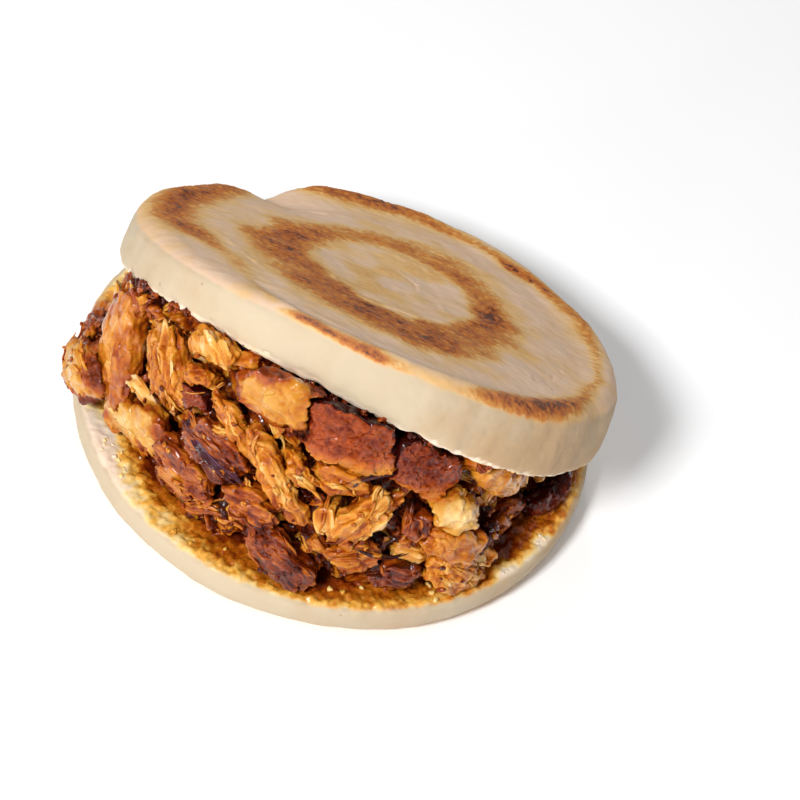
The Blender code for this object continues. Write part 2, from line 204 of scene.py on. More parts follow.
def addPiece(name, mesh, points, material, slot, *nodes, **marks):
    mesh.vertices.foreach_set("co", points.astype(np.float32).ravel())
    for mark, values in marks.items():
        setMark(mesh, mark, values)
    mesh.materials.clear()
    mesh.materials.append(material)
    mesh.shade_smooth()
    mesh.update()
    thing = placed(bpy.data.objects.new(name, mesh))
    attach(thing, "root")
    if nodes:
        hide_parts(*nodes)
    return thing


def toTop(points):  # world metres to the upper half's own millimetres
    return (points - topCentre) @ topAxes / mm


def fromTop(local):
    return local * mm @ topAxes.T + topCentre


def underside(x, y):  # height of the upper half's cut face in its own millimetres
    bend = bunPose["sideDroop"] * (x * x - y * y) + bunPose["cornerLift"] * 2 * x * y
    return bend / mm / (bunPose["radius"] / mm) ** 2


def crumbTop(points):  # height of the lower half's cut face, as the solid has it
    inside = np.maximum(0, 1 - (polar(points)[0] / lowerBun["radius"]) ** 2)
    return lowerBun["thickness"] - lowerBun["hollow"] * np.minimum(1, inside * 3)


def pressed(points, gap=0.1 * mm):  # keeps filling between the two halves
    points = points.copy()
    points[:, 2] = np.maximum(points[:, 2], crumbTop(points) + gap)
    inner = toTop(points)
    inner[:, 2] = np.minimum(inner[:, 2], underside(*inner.T[:2]) - gap / mm)
    return fromTop(inner)


# materials
class Wire:  # a shader socket that takes + - * like a number
    def __init__(self, paint, socket):
        self.paint = paint
        self.socket = socket

    def maths(self, operation, other, swap=False):
        pair = (other, self) if swap else (self, other)
        return self.paint.node("ShaderNodeMath", dict(operation=operation), {0: pair[0], 1: pair[1]})

    def __add__(self, other):
        return self.maths("ADD", other)

    def __sub__(self, other):
        return self.maths("SUBTRACT", other)

    def __rsub__(self, other):
        return self.maths("SUBTRACT", other, swap=True)

    def __mul__(self, other):
        return self.maths("MULTIPLY", other)

    __radd__ = __add__
    __rmul__ = __mul__


class Paint:
    def __init__(self, name, **fixed):
        self.material = bpy.data.materials.new(name)
        self.material.use_nodes = True
        self.tree = self.material.node_tree
        self.shader = self.tree.nodes["Principled BSDF"]
        for socket, value in fixed.items():
            self.shader.inputs[socket.replace("_", " ")].default_value = value

    def node(self, kind, settings=None, sockets=None, out=0):
        made = self.tree.nodes.new(kind)
        for name, value in (settings or {}).items():
            if name == "stops":
                for stop in value[len(made.color_ramp.elements):]:
                    made.color_ramp.elements.new(stop[0])
                for element, stop in zip(made.color_ramp.elements, value):
                    element.position = stop[0]
                    element.color = (*stop[1], 1)
            else:
                setattr(made, name, value)
        for name, value in (sockets or {}).items():
            if isinstance(value, Wire):
                self.tree.links.new(value.socket, made.inputs[name])
            else:
                made.inputs[name].default_value = value
        return Wire(self, made.outputs[out])

    def mark(self, name, vector=False):
        return self.node("ShaderNodeAttribute", dict(attribute_name=name), out="Vector" if vector else "Fac")

    def place(self):
        return self.node("ShaderNodeTexCoord", out="Object")

    def noise(self, vector, scale, detail=3.0, rough=0.55):
        sockets = {"Vector": vector, "Scale": scale, "Detail": detail, "Roughness": rough}
        return self.node("ShaderNodeTexNoise", {}, sockets, out="Fac")

    def ramp(self, value, stops):
        return self.node("ShaderNodeValToRGB", dict(stops=stops), {0: value}, out="Color")

    def clamp(self, value, low, high):  # 0 below low, 1 above high
        sockets = {"Value": value, "From Min": low, "From Max": high}
        return self.node("ShaderNodeMapRange", dict(interpolation_type="SMOOTHSTEP"), sockets)

    def mix(self, share, a, b):
        sockets = {0: share}
        for index, colour in ((6, a), (7, b)):
            sockets[index] = colour if isinstance(colour, Wire) else (*colour, 1)
        return self.node("ShaderNodeMix", dict(data_type="RGBA"), sockets, out=2)

    def feed(self, **sockets):
        for name, wire in sockets.items():
            self.tree.links.new(wire.socket, self.shader.inputs[name.replace("_", " ")])

    def relief(self, height, strength, distance):
        sockets = {"Height": height, "Strength": strength, "Distance": distance}
        self.feed(Normal=self.node("ShaderNodeBump", {}, sockets))


# colours from the photo, darkened to what the surface itself has
breadColours = dict(
    # the second wall colour is darker and warmer: it paints shade on the side of the bun away from the key light,
    # with some random warmth of its own
    wall=(0.52, 0.42, 0.29), wallShadedWarm=(0.48, 0.32, 0.18), flour=(0.73, 0.55, 0.43),
    toast=[(0.00, (0.71, 0.495, 0.34)), (0.20, (0.69, 0.42, 0.16)), (0.42, (0.58, 0.25, 0.050)),
           (0.66, (0.48, 0.15, 0.022)), (0.85, (0.34, 0.085, 0.016)), (1.00, (0.09, 0.024, 0.008))],
    crumb=[(0.00, (0.80, 0.65, 0.50)), (0.20, (0.84, 0.62, 0.26)), (0.42, (0.78, 0.40, 0.060)),
           (0.62, (0.47, 0.130, 0.005)), (0.82, (0.24, 0.033, 0.002)), (1.00, (0.10, 0.010, 0.001))])


# noise sizes and strengths of the bread
breadPaint = dict(speckle=900, mottle=130, cloud=45, pores=520, dots=105, lines=0.62, fine=0.95, broad=0.45,
                  dusting=0.16, flourAndHighlight=0.45, spotColour=(0.30, 0.14, 0.05), spots=0.45, soaking=0.60,
                  dry=0.74, glossy=0.54, bump=0.6, bumpDepth=0.0005)


def makeBread(name):
    look = breadPaint
    paint = Paint(name, Subsurface_Weight=0.12, Subsurface_Radius=(0.004, 0.002, 0.001), Subsurface_Scale=0.6,
                  Specular_IOR_Level=0.30, Coat_Roughness=0.18, Coat_IOR=1.33)
    place = paint.place()
    toast, crumb, wet, crown = (paint.mark(mark) for mark in ("toast", "crumb", "wet", "crown"))
    lines = paint.noise(paint.mark("wrinkle", vector=True), 1.0, 4, 0.6) - 0.5
    speckle = paint.noise(place, look["speckle"], 2) - 0.5
    mottle = paint.noise(place, look["mottle"], 4) - 0.5
    cloud = paint.noise(place, look["cloud"], 3)
    pores = paint.noise(place, look["pores"], 4, 0.65) - 0.5
    # toasting, broken by fine skin wrinkles
    scorch = paint.clamp(toast, 0.04, 0.45)
    broken = (lines * look["lines"] + speckle * look["fine"]) * scorch
    browned = toast + broken + mottle * look["broad"] + 0.02
    toasted = paint.ramp(browned, breadColours["toast"])
    dusted = paint.clamp(speckle + lines * 0.8, 0.0, 0.25) * (look["dusting"] - scorch * 0.13)
    # along the groove the crown is mixed towards the pale flour colour: partly its own untoasted skin, partly a
    # painted highlight band
    flourAndHighlight = paint.mix(dusted + paint.mark("pale") * look["flourAndHighlight"], toasted, breadColours["flour"])
    # the wall takes the darker, warmer colour on the side away from the key light: painted shade, mixed with
    # random warmth from the cloud noise
    shadeAndWarmth = paint.clamp(cloud + mottle * 0.5 + paint.mark("warm") * 0.55, 0.45, 1.0)
    wallTone = paint.mix(shadeAndWarmth, breadColours["wall"], breadColours["wallShadedWarm"])
    skin = paint.mix(paint.clamp(crown + browned * 1.4, 0.05, 0.75), wallTone, flourAndHighlight)
    dots = paint.node("ShaderNodeTexVoronoi", {}, {"Vector": place, "Scale": look["dots"]}, out="Distance")
    skin = paint.mix((1 - paint.clamp(dots, 0.025, 0.055)) * look["spots"], skin, look["spotColour"])
    # the cut face: open crumb, soaked where the gravy has run
    soaking = wet + pores * look["soaking"] * paint.clamp(wet, 0.02, 0.2) + mottle * look["broad"]
    glossy = paint.clamp(wet + pores * 0.8, 0.15, 0.55) * crumb
    paint.feed(Base_Color=paint.mix(crumb, skin, paint.ramp(soaking, breadColours["crumb"])),
               Roughness=look["dry"] - browned * 0.14 * (1 - crumb) + mottle * 0.15 - glossy * look["glossy"],
               Coat_Weight=glossy)
    skinRelief = (lines + 0.5) * 0.6 * (paint.clamp(toast, 0.03, 0.5) + 0.04) + speckle * 0.10 + mottle * 0.25
    paint.relief(skinRelief + (pores + 0.5) * crumb * 0.7, look["bump"], look["bumpDepth"])
    return paint.material


porkColours = [(0.00, (0.040, 0.004, 0.001)), (0.18, (0.13, 0.014, 0.001)), (0.36, (0.27, 0.044, 0.002)),
               (0.52, (0.42, 0.110, 0.005)), (0.68, (0.54, 0.195, 0.014)), (0.84, (0.66, 0.32, 0.060)),
               (1.00, (0.76, 0.47, 0.19))]
fatColours = [(0.00, (0.12, 0.015, 0.001)), (0.25, (0.34, 0.06, 0.004)), (0.50, (0.50, 0.20, 0.014)),
              (0.75, (0.60, 0.31, 0.055)), (1.00, (0.78, 0.50, 0.20))]
rindColours = [(0.00, (0.030, 0.002, 0.001)), (0.25, (0.13, 0.012, 0.002)), (0.50, (0.34, 0.055, 0.006)),
               (0.72, (0.46, 0.11, 0.009)), (1.00, (0.60, 0.22, 0.018))]


# what the kinds of pork differ in, and what they share
porkPaint = dict(fibres=0.28, mottles=0.36, patches=0.60, ridges=0.42, coat=0.80, bumps=0.26, furrows=0.5,
                 soft=0.30, gloss=0.20, darker=0.05, mottle=420, patch=150, rough=0.26, bumpDepth=0.0008)


def makePork(name, colours, **changes):
    look = {**porkPaint, **changes}
    paint = Paint(name, Subsurface_Weight=look["soft"], Subsurface_Radius=(0.0024, 0.0009, 0.0003),
                  Subsurface_Scale=0.6, Specular_IOR_Level=look["gloss"], Coat_Roughness=0.14, Coat_IOR=1.33)
    place = paint.place()
    tone, ridge, wet = (paint.mark(mark) for mark in ("tone", "ridge", "wet"))
    strands = paint.noise(paint.mark("fibre", vector=True), 1.5, 3, 0.6) - 0.5
    mottle = paint.noise(place, look["mottle"], 2) - 0.5
    patch = paint.noise(place, look["patch"], 3) - 0.5
    # the ridge mark is high on crests, bead tops and wrinkle tops and low in grooves and furrows; its strength
    # paints the low places darker and the high ones lighter: painted shade and light, with gravy in the grooves
    grainAndGrooveShade = (ridge - 0.5) * look["ridges"] + strands * look["fibres"]
    value = tone + grainAndGrooveShade + mottle * look["mottles"] + patch * look["patches"] - look["darker"]
    glazed = paint.clamp(wet * 0.5 + patch * 1.6 + mottle * 0.8, 0.05, 0.55)
    paint.feed(Base_Color=paint.ramp(value, colours), Roughness=look["rough"] - glazed * 0.12,
               Coat_Weight=glazed * look["coat"])
    # little relief, because a wet surface is smooth and shows its gloss on the larger forms
    paint.relief(mottle * 1.4 + strands * look["furrows"], look["bumps"], look["bumpDepth"])
    return paint.material


bread = makeBread("griddledBread")
porkMeat = makePork("braisedPork", porkColours)
porkCore = makePork("chopInGravy", porkColours, bumps=0.4)
porkFat = makePork("braisedFat", fatColours, fibres=0.1, mottles=0.5, patches=0.7, ridges=0.35, coat=0.9,
                   bumps=0.28, furrows=0.05, soft=0.40)
porkRind = makePork("braisedRind", rindColours, fibres=0.15, mottles=0.3, patches=0.35, ridges=0.50, coat=1.0,
                    bumps=0.40, furrows=1.2, soft=0.20, gloss=0.03, darker=0.10)
sinewColours = [(0.00, (0.016, 0.002, 0.001)), (0.35, (0.050, 0.006, 0.006)), (0.60, (0.070, 0.018, 0.034)),
                (1.00, (0.18, 0.080, 0.14))]
porkSinew = makePork("braisedSinew", sinewColours, patches=0.3, mottles=0.5, soft=0.05)
print("materials made")


# where the griddle browned the crown, in the upper half's own millimetres: strokes along the raised edge as
# x, y, z, half width and strength, and the outlines of the ring round the pale middle
toastStrokes = [
    [(-38.5, 28.4, 9.7, 2.2, 0.56), (-42.6, 18.0, 10.1, 3.2, 0.74), (-45.0, 7.1, 10.1, 3.8, 0.80),
     (-45.2, -4.9, 10.5, 3.8, 0.78), (-42.0, -14.4, 11.1, 3.4, 0.74), (-37.6, -19.4, 11.4, 3.0, 0.78),
     (-33.0, -22.5, 11.9, 2.5, 0.60), (-28.2, -26.2, 12.4, 2.1, 0.34), (-23.0, -33.9, 13.0, 1.8, 0.26),
     (-17.1, -42.9, 14.3, 1.6, 0.24), (-12.6, -47.7, 15.1, 1.1, 0.25)],
    [(-9.7, -49.8, 14.7, 0.7, 0.40), (-6.9, -50.1, 14.7, 1.0, 0.85), (-2.4, -50.5, 14.5, 1.1, 0.90),
     (2.6, -50.7, 14.2, 1.2, 0.85), (6.1, -50.5, 13.8, 1.4, 0.85), (9.7, -50.0, 13.5, 1.3, 0.80),
     (12.3, -49.3, 13.5, 1.1, 0.38), (16.7, -48.6, 12.8, 1.4, 0.15), (21.6, -46.8, 12.3, 1.5, 0.14),
     (25.9, -44.4, 12.3, 1.3, 0.22), (28.8, -41.9, 12.3, 1.5, 0.60), (32.8, -38.0, 12.0, 2.0, 0.80),
     (37.2, -33.1, 11.6, 2.4, 0.84), (41.4, -26.6, 11.1, 2.5, 0.86), (44.7, -19.4, 10.7, 1.8, 0.74),
     (45.9, -8.5, 10.6, 1.4, 0.46), (46.4, 3.2, 10.6, 1.0, 0.34), (44.8, 14.7, 11.2, 1.2, 0.30),
     (40.2, 24.9, 12.1, 1.6, 0.46), (36.7, 31.0, 12.8, 1.6, 0.56), (31.5, 35.8, 13.5, 1.6, 0.62),
     (26.2, 38.9, 13.8, 1.6, 0.76), (19.9, 41.3, 14.0, 1.5, 0.76), (16.0, 43.2, 14.2, 1.3, 0.52),
     (8.4, 45.2, 14.4, 1.5, 0.46), (3.5, 46.3, 14.4, 1.7, 0.56), (-2.3, 46.4, 14.2, 2.1, 0.66),
     (-7.2, 46.2, 14.2, 2.5, 0.74), (-12.0, 45.4, 14.2, 2.8, 0.78), (-16.9, 43.6, 14.1, 2.8, 0.80),
     (-21.4, 41.6, 13.8, 2.7, 0.78), (-26.0, 39.6, 13.0, 2.3, 0.70), (-29.8, 37.3, 11.6, 1.2, 0.40)],
    # these last strokes run down the right side of the wall: partly its browning, partly painted shade there
    [(12, -50.5, 9.5, 4, 0.05), (28, -42.5, 8.5, 5, 0.17), (39, -34, 8, 5, 0.24), (46.5, -22.5, 7, 5, 0.22),
     (50.5, -10, 6, 4, 0.14)]]
toastSpots = [(-12.9, 47.7, 1.2), (-11.1, 47.4, 0.8), (18.1, 41.6, 0.9), (20.0, 41.0, 0.7), (23.1, 39.8, 1.1),
              (25.1, 38.8, 0.8), (20.8, 12.5, 0.9), (21.6, 6.7, 0.6), (-28.5, -5.3, 0.6), (6.8, -17.1, 0.5),
              (39.4, -23.5, 1.5), (38.7, -29.8, 1.1), (42.2, -20.0, 0.9), (35.2, -34.6, 0.8)]
ringOuter = [
    (-29.3, -3.7), (-26.1, 10.7), (-19.0, 17.2), (-9.1, 25.0), (-0.5, 29.1), (8.8, 29.8), (16.8, 24.0),
    (23.7, 15.1), (27.0, 5.0), (27.6, -6.0), (25.0, -18.0), (21.5, -27.7), (13.8, -34.5), (5.6, -34.8),
    (-1.1, -34.3), (-7.4, -33.9), (-15.8, -28.6), (-23.8, -16.9)]
ringInner = [
    (-14.7, -3.8), (-15.7, 2.0), (-13.5, 12.0), (-4.3, 18.5), (3.5, 20.1), (12.2, 16.0), (16.7, 9.9),
    (18.0, 2.7), (16.6, -5.6), (12.4, -13.0), (7.1, -18.2), (0.8, -18.6), (-4.1, -16.2), (-8.4, -12.5),
    (-12.8, -7.5)]
# x, y, reach and strength of where the ring is darker or paler than the rest of it
ringShades = [(22, 4, 9, 0.24), (-22, -2, 10, 0.14), (4, -26, 14, 0.14), (2, 25, 11, -0.10),
              (-20, -22, 7, -0.10), (12, 24, 7, -0.04)]


def strokeMark(points, rows):  # how browned a stroke leaves each point: full along it and fading aside
    mark = np.zeros(len(points))
    for row, following in zip(np.array(rows), np.array(rows)[1:]):
        a, d = row[:3], following[:3] - row[:3]
        t = np.clip((points - a) @ d / (d @ d), 0, 1)
        width, strength = row[3:, None] + (following - row)[3:, None] * t
        gap = np.linalg.norm(points - a - t[:, None] * d, axis=1) / width
        fade = 0.74 * np.exp(-gap ** 2.4 * 0.8) + 0.26 * np.exp(-(gap / 2.4) ** 2)
        mark = np.maximum(mark, strength * fade)
    return mark


def nearLine(x, y, line):  # distance from a line through a few points, and which side of it
    gap = np.full(len(x), 99.0)
    side = np.zeros(len(x))
    for (ax, ay), (bx, by) in zip(line, line[1:]):
        dx, dy = bx - ax, by - ay
        t = np.clip(((x - ax) * dx + (y - ay) * dy) / (dx * dx + dy * dy), 0, 1)
        here = np.hypot(x - ax - t * dx, y - ay - t * dy)
        side = np.where(here < gap, (x - ax) * dy - (y - ay) * dx, side)
        gap = np.minimum(gap, here)
    return gap, side


def depthInside(x, y, outline):  # distance in from an outline, negative outside it
    closed = outline + outline[:1]
    inside = np.zeros(len(x), bool)
    for (ax, ay), (bx, by) in zip(closed, closed[1:]):
        inside ^= ((ay > y) != (by > y)) & (x < (bx - ax) * (y - ay) / (by - ay or 1e-9) + ax)
    gap = nearLine(x, y, closed)[0]
    return np.where(inside, gap, -gap)


# how far the browning strays from its outlines, and how it fades there, in millimetres
browning = dict(stray=2.2, strokeStray=1.3, outerFade=(-4.6, 4.6), innerFade=(-3.6, 2.2), haloFade=(-10, 0),
                ring=0.66, ringUneven=0.24, halo=0.20, spot=0.55)


def toastAt(local):
    look = browning
    warp = np.stack([layeredNoise(local / 7, 3, 3), layeredNoise(local / 7, 3, 5), local[:, 0] * 0], axis=1)
    x, y = (local + look["stray"] * warp)[:, :2].T
    toast = np.zeros(len(x))
    for rows in toastStrokes:
        toast = np.maximum(toast, strokeMark(local + look["strokeStray"] * warp, rows))
    depth = depthInside(x, y, ringOuter)
    ring = smoothStep(depth, *look["outerFade"])
    ring *= 1 - smoothStep(depthInside(x, y, ringInner), *look["innerFade"])
    shade = look["ring"] + look["ringUneven"] * layeredNoise(local / (6, 3.4, 5), 3, 13)
    for sx, sy, reach, strength in ringShades:
        shade += strength * bump(np.hypot(x - sx, y - sy), reach)
    # the faint browning between them
    patchy = smoothStep(smoothNoise(local / 8, 12), -0.2, 0.5)
    halo = look["halo"] * smoothStep(depth, *look["haloFade"]) * patchy
    toast = np.maximum(np.maximum(toast, ring * shade), halo)
    for sx, sy, reach in toastSpots:
        gap = np.hypot(local[:, 0] - sx, local[:, 1] - sy)
        toast += look["spot"] * bump(gap, reach) * smoothStep(smoothNoise(local / 0.7, 9), -0.3, 0.4)
    return np.clip(toast, 0, 1.2)


bunSkin = dict(
    voxel=0.98 * mm, relax=4, swell=0.40, dimples=0.17, wrinkles=0.22, lip=0.75, nicks=0.7, crumbs=0.45,
    grooveDepth=0.55, lobeLift=1.35, lobeAt=122, notchAt=138, shoulder=1.25, shoulderAt=-142, wallFolds=0.10,
    creaseDepth=0.22, creaseRidge=0.14, fineFrom=1.2, rimFrom=44,
    groove=[(-16.9, -40.0, 13.7, 2.0, 0.8), (-6.7, -46.9, 15.0, 1.8, 1), (2.8, -47.3, 14.9, 1.7, 1),
            (12.6, -45.0, 14.1, 1.8, 1), (20.6, -42.0, 13.6, 2.0, 1), (27.5, -36.0, 12.9, 2.4, 1),
            (35.5, -25.0, 11.6, 2.6, 1), (40.0, -9.9, 10.6, 2.4, 0.6)],
    creases=[[(-12, -9), (-9.0, -13.8), (-6.3, -16.2), (-3.0, -18.1), (-0.2, -19.3), (2.8, -17.9),
              (6.5, -16.7), (9.7, -15.7), (13.3, -11.0)],
             [(-9, -10.5), (-5, -13.5), (-1, -15)], [(35.7, -14.8), (38.3, -9.3), (39.4, -2.5)],
             [(20, 8.5), (26.2, 5.1), (31.5, 0.9)], [(-33, -16), (-27, -22), (-22, -27)],
             [(1, 9), (5, 6), (6, 2), (3, 0)], [(9, 3), (12, -2)], [(-27, 24), (-21, 27)]])


def crownOrRim(centres):
    local = toTop(centres)
    above = local[:, 2] - underside(*local.T[:2])
    return (above > bunSkin["fineFrom"]) | (polar(local)[0] > bunSkin["rimFrom"])


def buildTopBun():
    form = bunSkin
    mesh, points, normals = remeshed("bun_top", form, crownOrRim)
    local = toTop(points)
    x, y = local[:, 0], local[:, 1]
    r, azimuth = polar(local)
    above = local[:, 2] - underside(x, y)  # height over the cut face
    up = normals @ topAxes[:, 2]
    crown = smoothStep(up, 0.25, 0.8)
    cutFace = smoothStep(-up, 0.35, 0.7) * smoothStep(1.6 - above, 0, 1.0)
    toast = toastAt(local) * smoothStep(above, 8.2, 10.6) * smoothStep(up, -0.1, 0.45)
    # rolling form, dimples and skin wrinkles along the length of the bun
    along = np.stack([x / 4.5, y / 1.35, local[:, 2] / 3], axis=1)
    along += 0.8 * layeredNoise(local / 5, 2, 31)[:, None]
    move = form["swell"] * layeredNoise(local / 17, 2, 21)
    move += form["dimples"] * layeredNoise(local / 3.4, 3, 22)
    move += form["wrinkles"] * (crests(along, 23) - 0.5) * crown * (0.22 + np.minimum(1, toast * 1.3))
    groove = strokeMark(local, form["groove"])
    move -= form["grooveDepth"] * groove * crown
    # the lobe beside the notch stands up, and the near left shoulder is rounder
    beside = bump(turned(azimuth, form["lobeAt"]), 15) * (1 - bump(turned(azimuth, form["notchAt"]), 4.5))
    lift = form["lobeLift"] * beside * smoothStep(r, 36, 45) * smoothStep(above, 2, 9)
    left = smoothStep(-np.abs(turned(azimuth, form["shoulderAt"])), -46, -20)
    lift -= form["shoulder"] * left * smoothStep(r, 42, 51) * smoothStep(above, 5, 12)
    bentX, bentY = x + 0.5 * smoothNoise(local / 1.9, 34), y + 0.7 * smoothNoise(local / 2.6, 33)
    here = crown * smoothStep(smoothNoise(local / 3.3, 35), -0.5, 0.3)
    for line in form["creases"]:
        gap, side = nearLine(bentX, bentY, line)
        ridge = form["creaseRidge"] * bump(gap - 0.8, 0.7) * (side < 0)
        move += here * (ridge - form["creaseDepth"] * bump(gap, 0.45))
    # upright folds in the wall, and the torn edge over the filling
    folds = smoothNoise(np.stack([azimuth / 5, above / 12, above * 0], axis=1), 24)
    move += form["wallFolds"] * (1 - crown) * (1 - cutFace) * folds
    lip = bump(above - 0.3, 1.5) * (r > 44)
    ragged = layeredNoise(local / 3.4, 2, 25) + 0.35 * layeredNoise(local / 9, 1, 27)
    nicks = smoothStep(smoothNoise(local / 1.6, 29), 0.32, 0.70)
    move += form["crumbs"] * cutFace * (crests(local / 1.7, 26) - 0.5) * smoothStep(50 - r, 0, 3)
    lift += form["nicks"] * nicks * lip - form["lip"] * lip * np.minimum(0.30, ragged)
    points += (topAxes[:, 2] * lift[:, None] + normals * move[:, None]) * mm
    # from the near right round to the back, the wall is marked for the darker, warmer colour: painted shade on the
    # side away from the key light
    shaded = smoothStep(azimuth, -86, -20) * (1 - smoothStep(azimuth, 60, 110)) * (1 - crown)
    bent = 1.1 * layeredNoise(local / 4.5, 2, 32)
    # the groove is painted pale: partly untoasted skin, partly a painted highlight along it
    return addPiece("bunTop", mesh, points, bread, "bun", "bun_top", toast=toast, crown=crown, crumb=cutFace,
                    pale=groove, warm=0.85 * shaded + 0.25 * layeredNoise(local / 11, 2, 28),
                    wet=cutFace * smoothStep(50.5 - r + 2.5 * ragged, 0, 5),
                    wrinkle=np.stack([x / 1.9 + bent, y / 0.8 + bent, above / 1.1], axis=1))


# how far out the gravy has soaked, by azimuth in degrees, and how wet it is there
soak = dict(
    voxel=0.85 * mm, relax=4, swell=0.30, dimples=0.08, crumbs=1.0, pits=0.70, rimFrom=37 * mm, ragged=2.4,
    seepAt=-178, seepWidth=13,
    reach=[(-180, 57.5), (-170, 56.5), (-163, 52.5), (-154, 49.0), (-146, 47.0), (-137, 49.5), (-122, 51.6),
           (-100, 53.2), (-84, 53.2), (-66, 54.0), (-50, 53.8), (-36, 53.4), (-24, 53.8), (-8, 54.4),
           (20, 50.0), (60, 46.5), (120, 46.0), (160, 50.0), (172, 55.0), (180, 57.5)],
    stainPast=[(-180, 5.5), (-160, 5.5), (-151, 4.2), (-140, 2.5), (-122, 3.8), (-90, 3.0), (-50, 3.5),
               (-30, 3.5), (0, 3.5), (60, 4.0), (180, 5.5)],
    pools=[(-23.0, -43.5, 4.5, -0.14), (5.5, -44.5, 6.0, 0.45), (37.5, -26.0, 6.0, 0.40),
           (49.4, -21.2, 2.4, -0.85), (44.2, -31.4, 3.0, -0.90), (48.0, -26.6, 1.5, -0.6)])


def lowerRim(centres):
    return (polar(centres)[0] > soak["rimFrom"]) & (centres[:, 2] > 1.5 * mm)


def buildLowerBun():
    form = soak
    mesh, points, normals = remeshed("bun_bottom", form, lowerRim)
    p = points / mm
    height = p[:, 2]
    r, azimuth = polar(p)
    fromRim = lowerBun["radius"] / mm - r
    cutFace = smoothStep(normals[:, 2], 0.45, 0.85)
    base = smoothStep(-normals[:, 2], 0.6, 0.95)
    reach, stain = (np.interp(azimuth, *np.array(form[line]).T) for line in ("reach", "stainPast"))
    ragged = layeredNoise(p / 3.2, 3, 41)
    edge = reach + form["ragged"] * ragged - r
    wet = 0.40 * smoothStep(edge + stain, 0, stain) + 0.30 * smoothStep(edge, -1.0, 4.0)
    wet += 0.34 * smoothStep(47.2 + 2 * ragged - r, 0, 3.0)
    for x, y, across, strength in form["pools"]:
        wet += strength * bump(np.hypot(p[:, 0] - x, p[:, 1] - y) + ragged, across)
    crumbly = 0.8 * layeredNoise(p / 2.2, 3, 42) + 0.55 * crests(p / 1.5, 43) - 0.15
    move = form["swell"] * layeredNoise(p / 19, 2, 44) + form["dimples"] * layeredNoise(p / 3.4, 3, 45)
    rough = cutFace * smoothStep(fromRim, 0.2, 2.2) * (0.35 + 0.65 * smoothStep(wet, 0.15, 0.55))
    pits = smoothStep(layeredNoise(p / 1.7, 2, 46), 0.25, 0.6)
    move += rough * (form["crumbs"] * crumbly - form["pits"] * pits)
    points += normals * (move * (1 - base) * mm)[:, None]
    points[:, 2] = np.maximum(points[:, 2], 0)
    # the hidden underside has the same griddle marks
    toast = np.maximum(toastAt(p * (-0.94, 0.94, 1)) * base, 0.20 * bump(height - 0.6, 1.2) * (1 + ragged))
    seeped = bump(turned(azimuth, form["seepAt"]), form["seepWidth"])
    seeped *= smoothStep(height + ragged, 5.0, 7.5) * (1 - base)
    soft = cutFace * smoothStep(fromRim - 0.5 + 0.5 * ragged, 0, 1.0)
    # the right of the wall is marked for the darker, warmer colour: painted shade away from the key light, with
    # random warmth added below
    warm = 0.35 * smoothStep(azimuth, -90, -20) * (1 - smoothStep(azimuth, 60, 110))
    return addPiece("bunBottom", mesh, points, bread, "bun", "bun_bottom", toast=toast, crown=base,
                    crumb=np.maximum(soft, seeped), pale=0, warm=warm + 0.2 * layeredNoise(p / 11, 2, 48),
                    wet=np.clip(wet, 0, 1), wrinkle=np.stack([azimuth / 2.5, height / 0.9, r / 0.9], axis=1))


buildTopBun()
bunBottom = buildLowerBun()
print("bun halves made")


def grainFrame(points):  # along the piece, across it, and out of the heap
    centre = points.mean(axis=0)
    out = unit(np.array([centre[0], centre[1], 0]))
    spread = points - centre
    spread = spread - np.outer(spread @ out, out)
    along = np.linalg.svd(spread, full_matrices=False)[2][0]
    return centre, np.stack([along, np.cross(out, along), out], axis=1)


muscle = dict(bundle=(12, 1.9, 1.5), strand=(9, 0.70, 0.70), bend=0.8, jitter=0.10, round=0.22, groove=0.55,
              strands=0.26, steps=1.05)


def fibrous(q, seed):  # muscle bundles; q is along the grain, across it and outwards, in mm
    look = muscle
    bent = q + np.outer(look["bend"] * smoothNoise(q / (7, 3.5, 3.5), seed), (0, 1, 0.7))
    bent = bent + look["jitter"] * smoothNoise(q / 1.1, seed + 1)[:, None]
    near, second, bundle = cellNoise(bent / look["bundle"] + seed, seed + 2)
    paler, raised, shade = scatterSpots[bundle].T
    groove = 1 - smoothStep(second - near, 0.0, 0.26)
    strands = crests(bent / look["strand"] + seed, seed + 3)
    ridge = 0.50 * (1 - groove) + 0.38 * strands + 0.12 * paler
    deep = smoothStep(smoothNoise(q / (6, 2.6, 2.6), seed + 4), -0.45, 0.35)
    move = look["round"] * (0.55 - near) + look["strands"] * (strands - 0.5)
    move += (look["steps"] * (raised - 0.5) - look["groove"] * groove) * deep
    return move, ridge, shade * 2 - 1


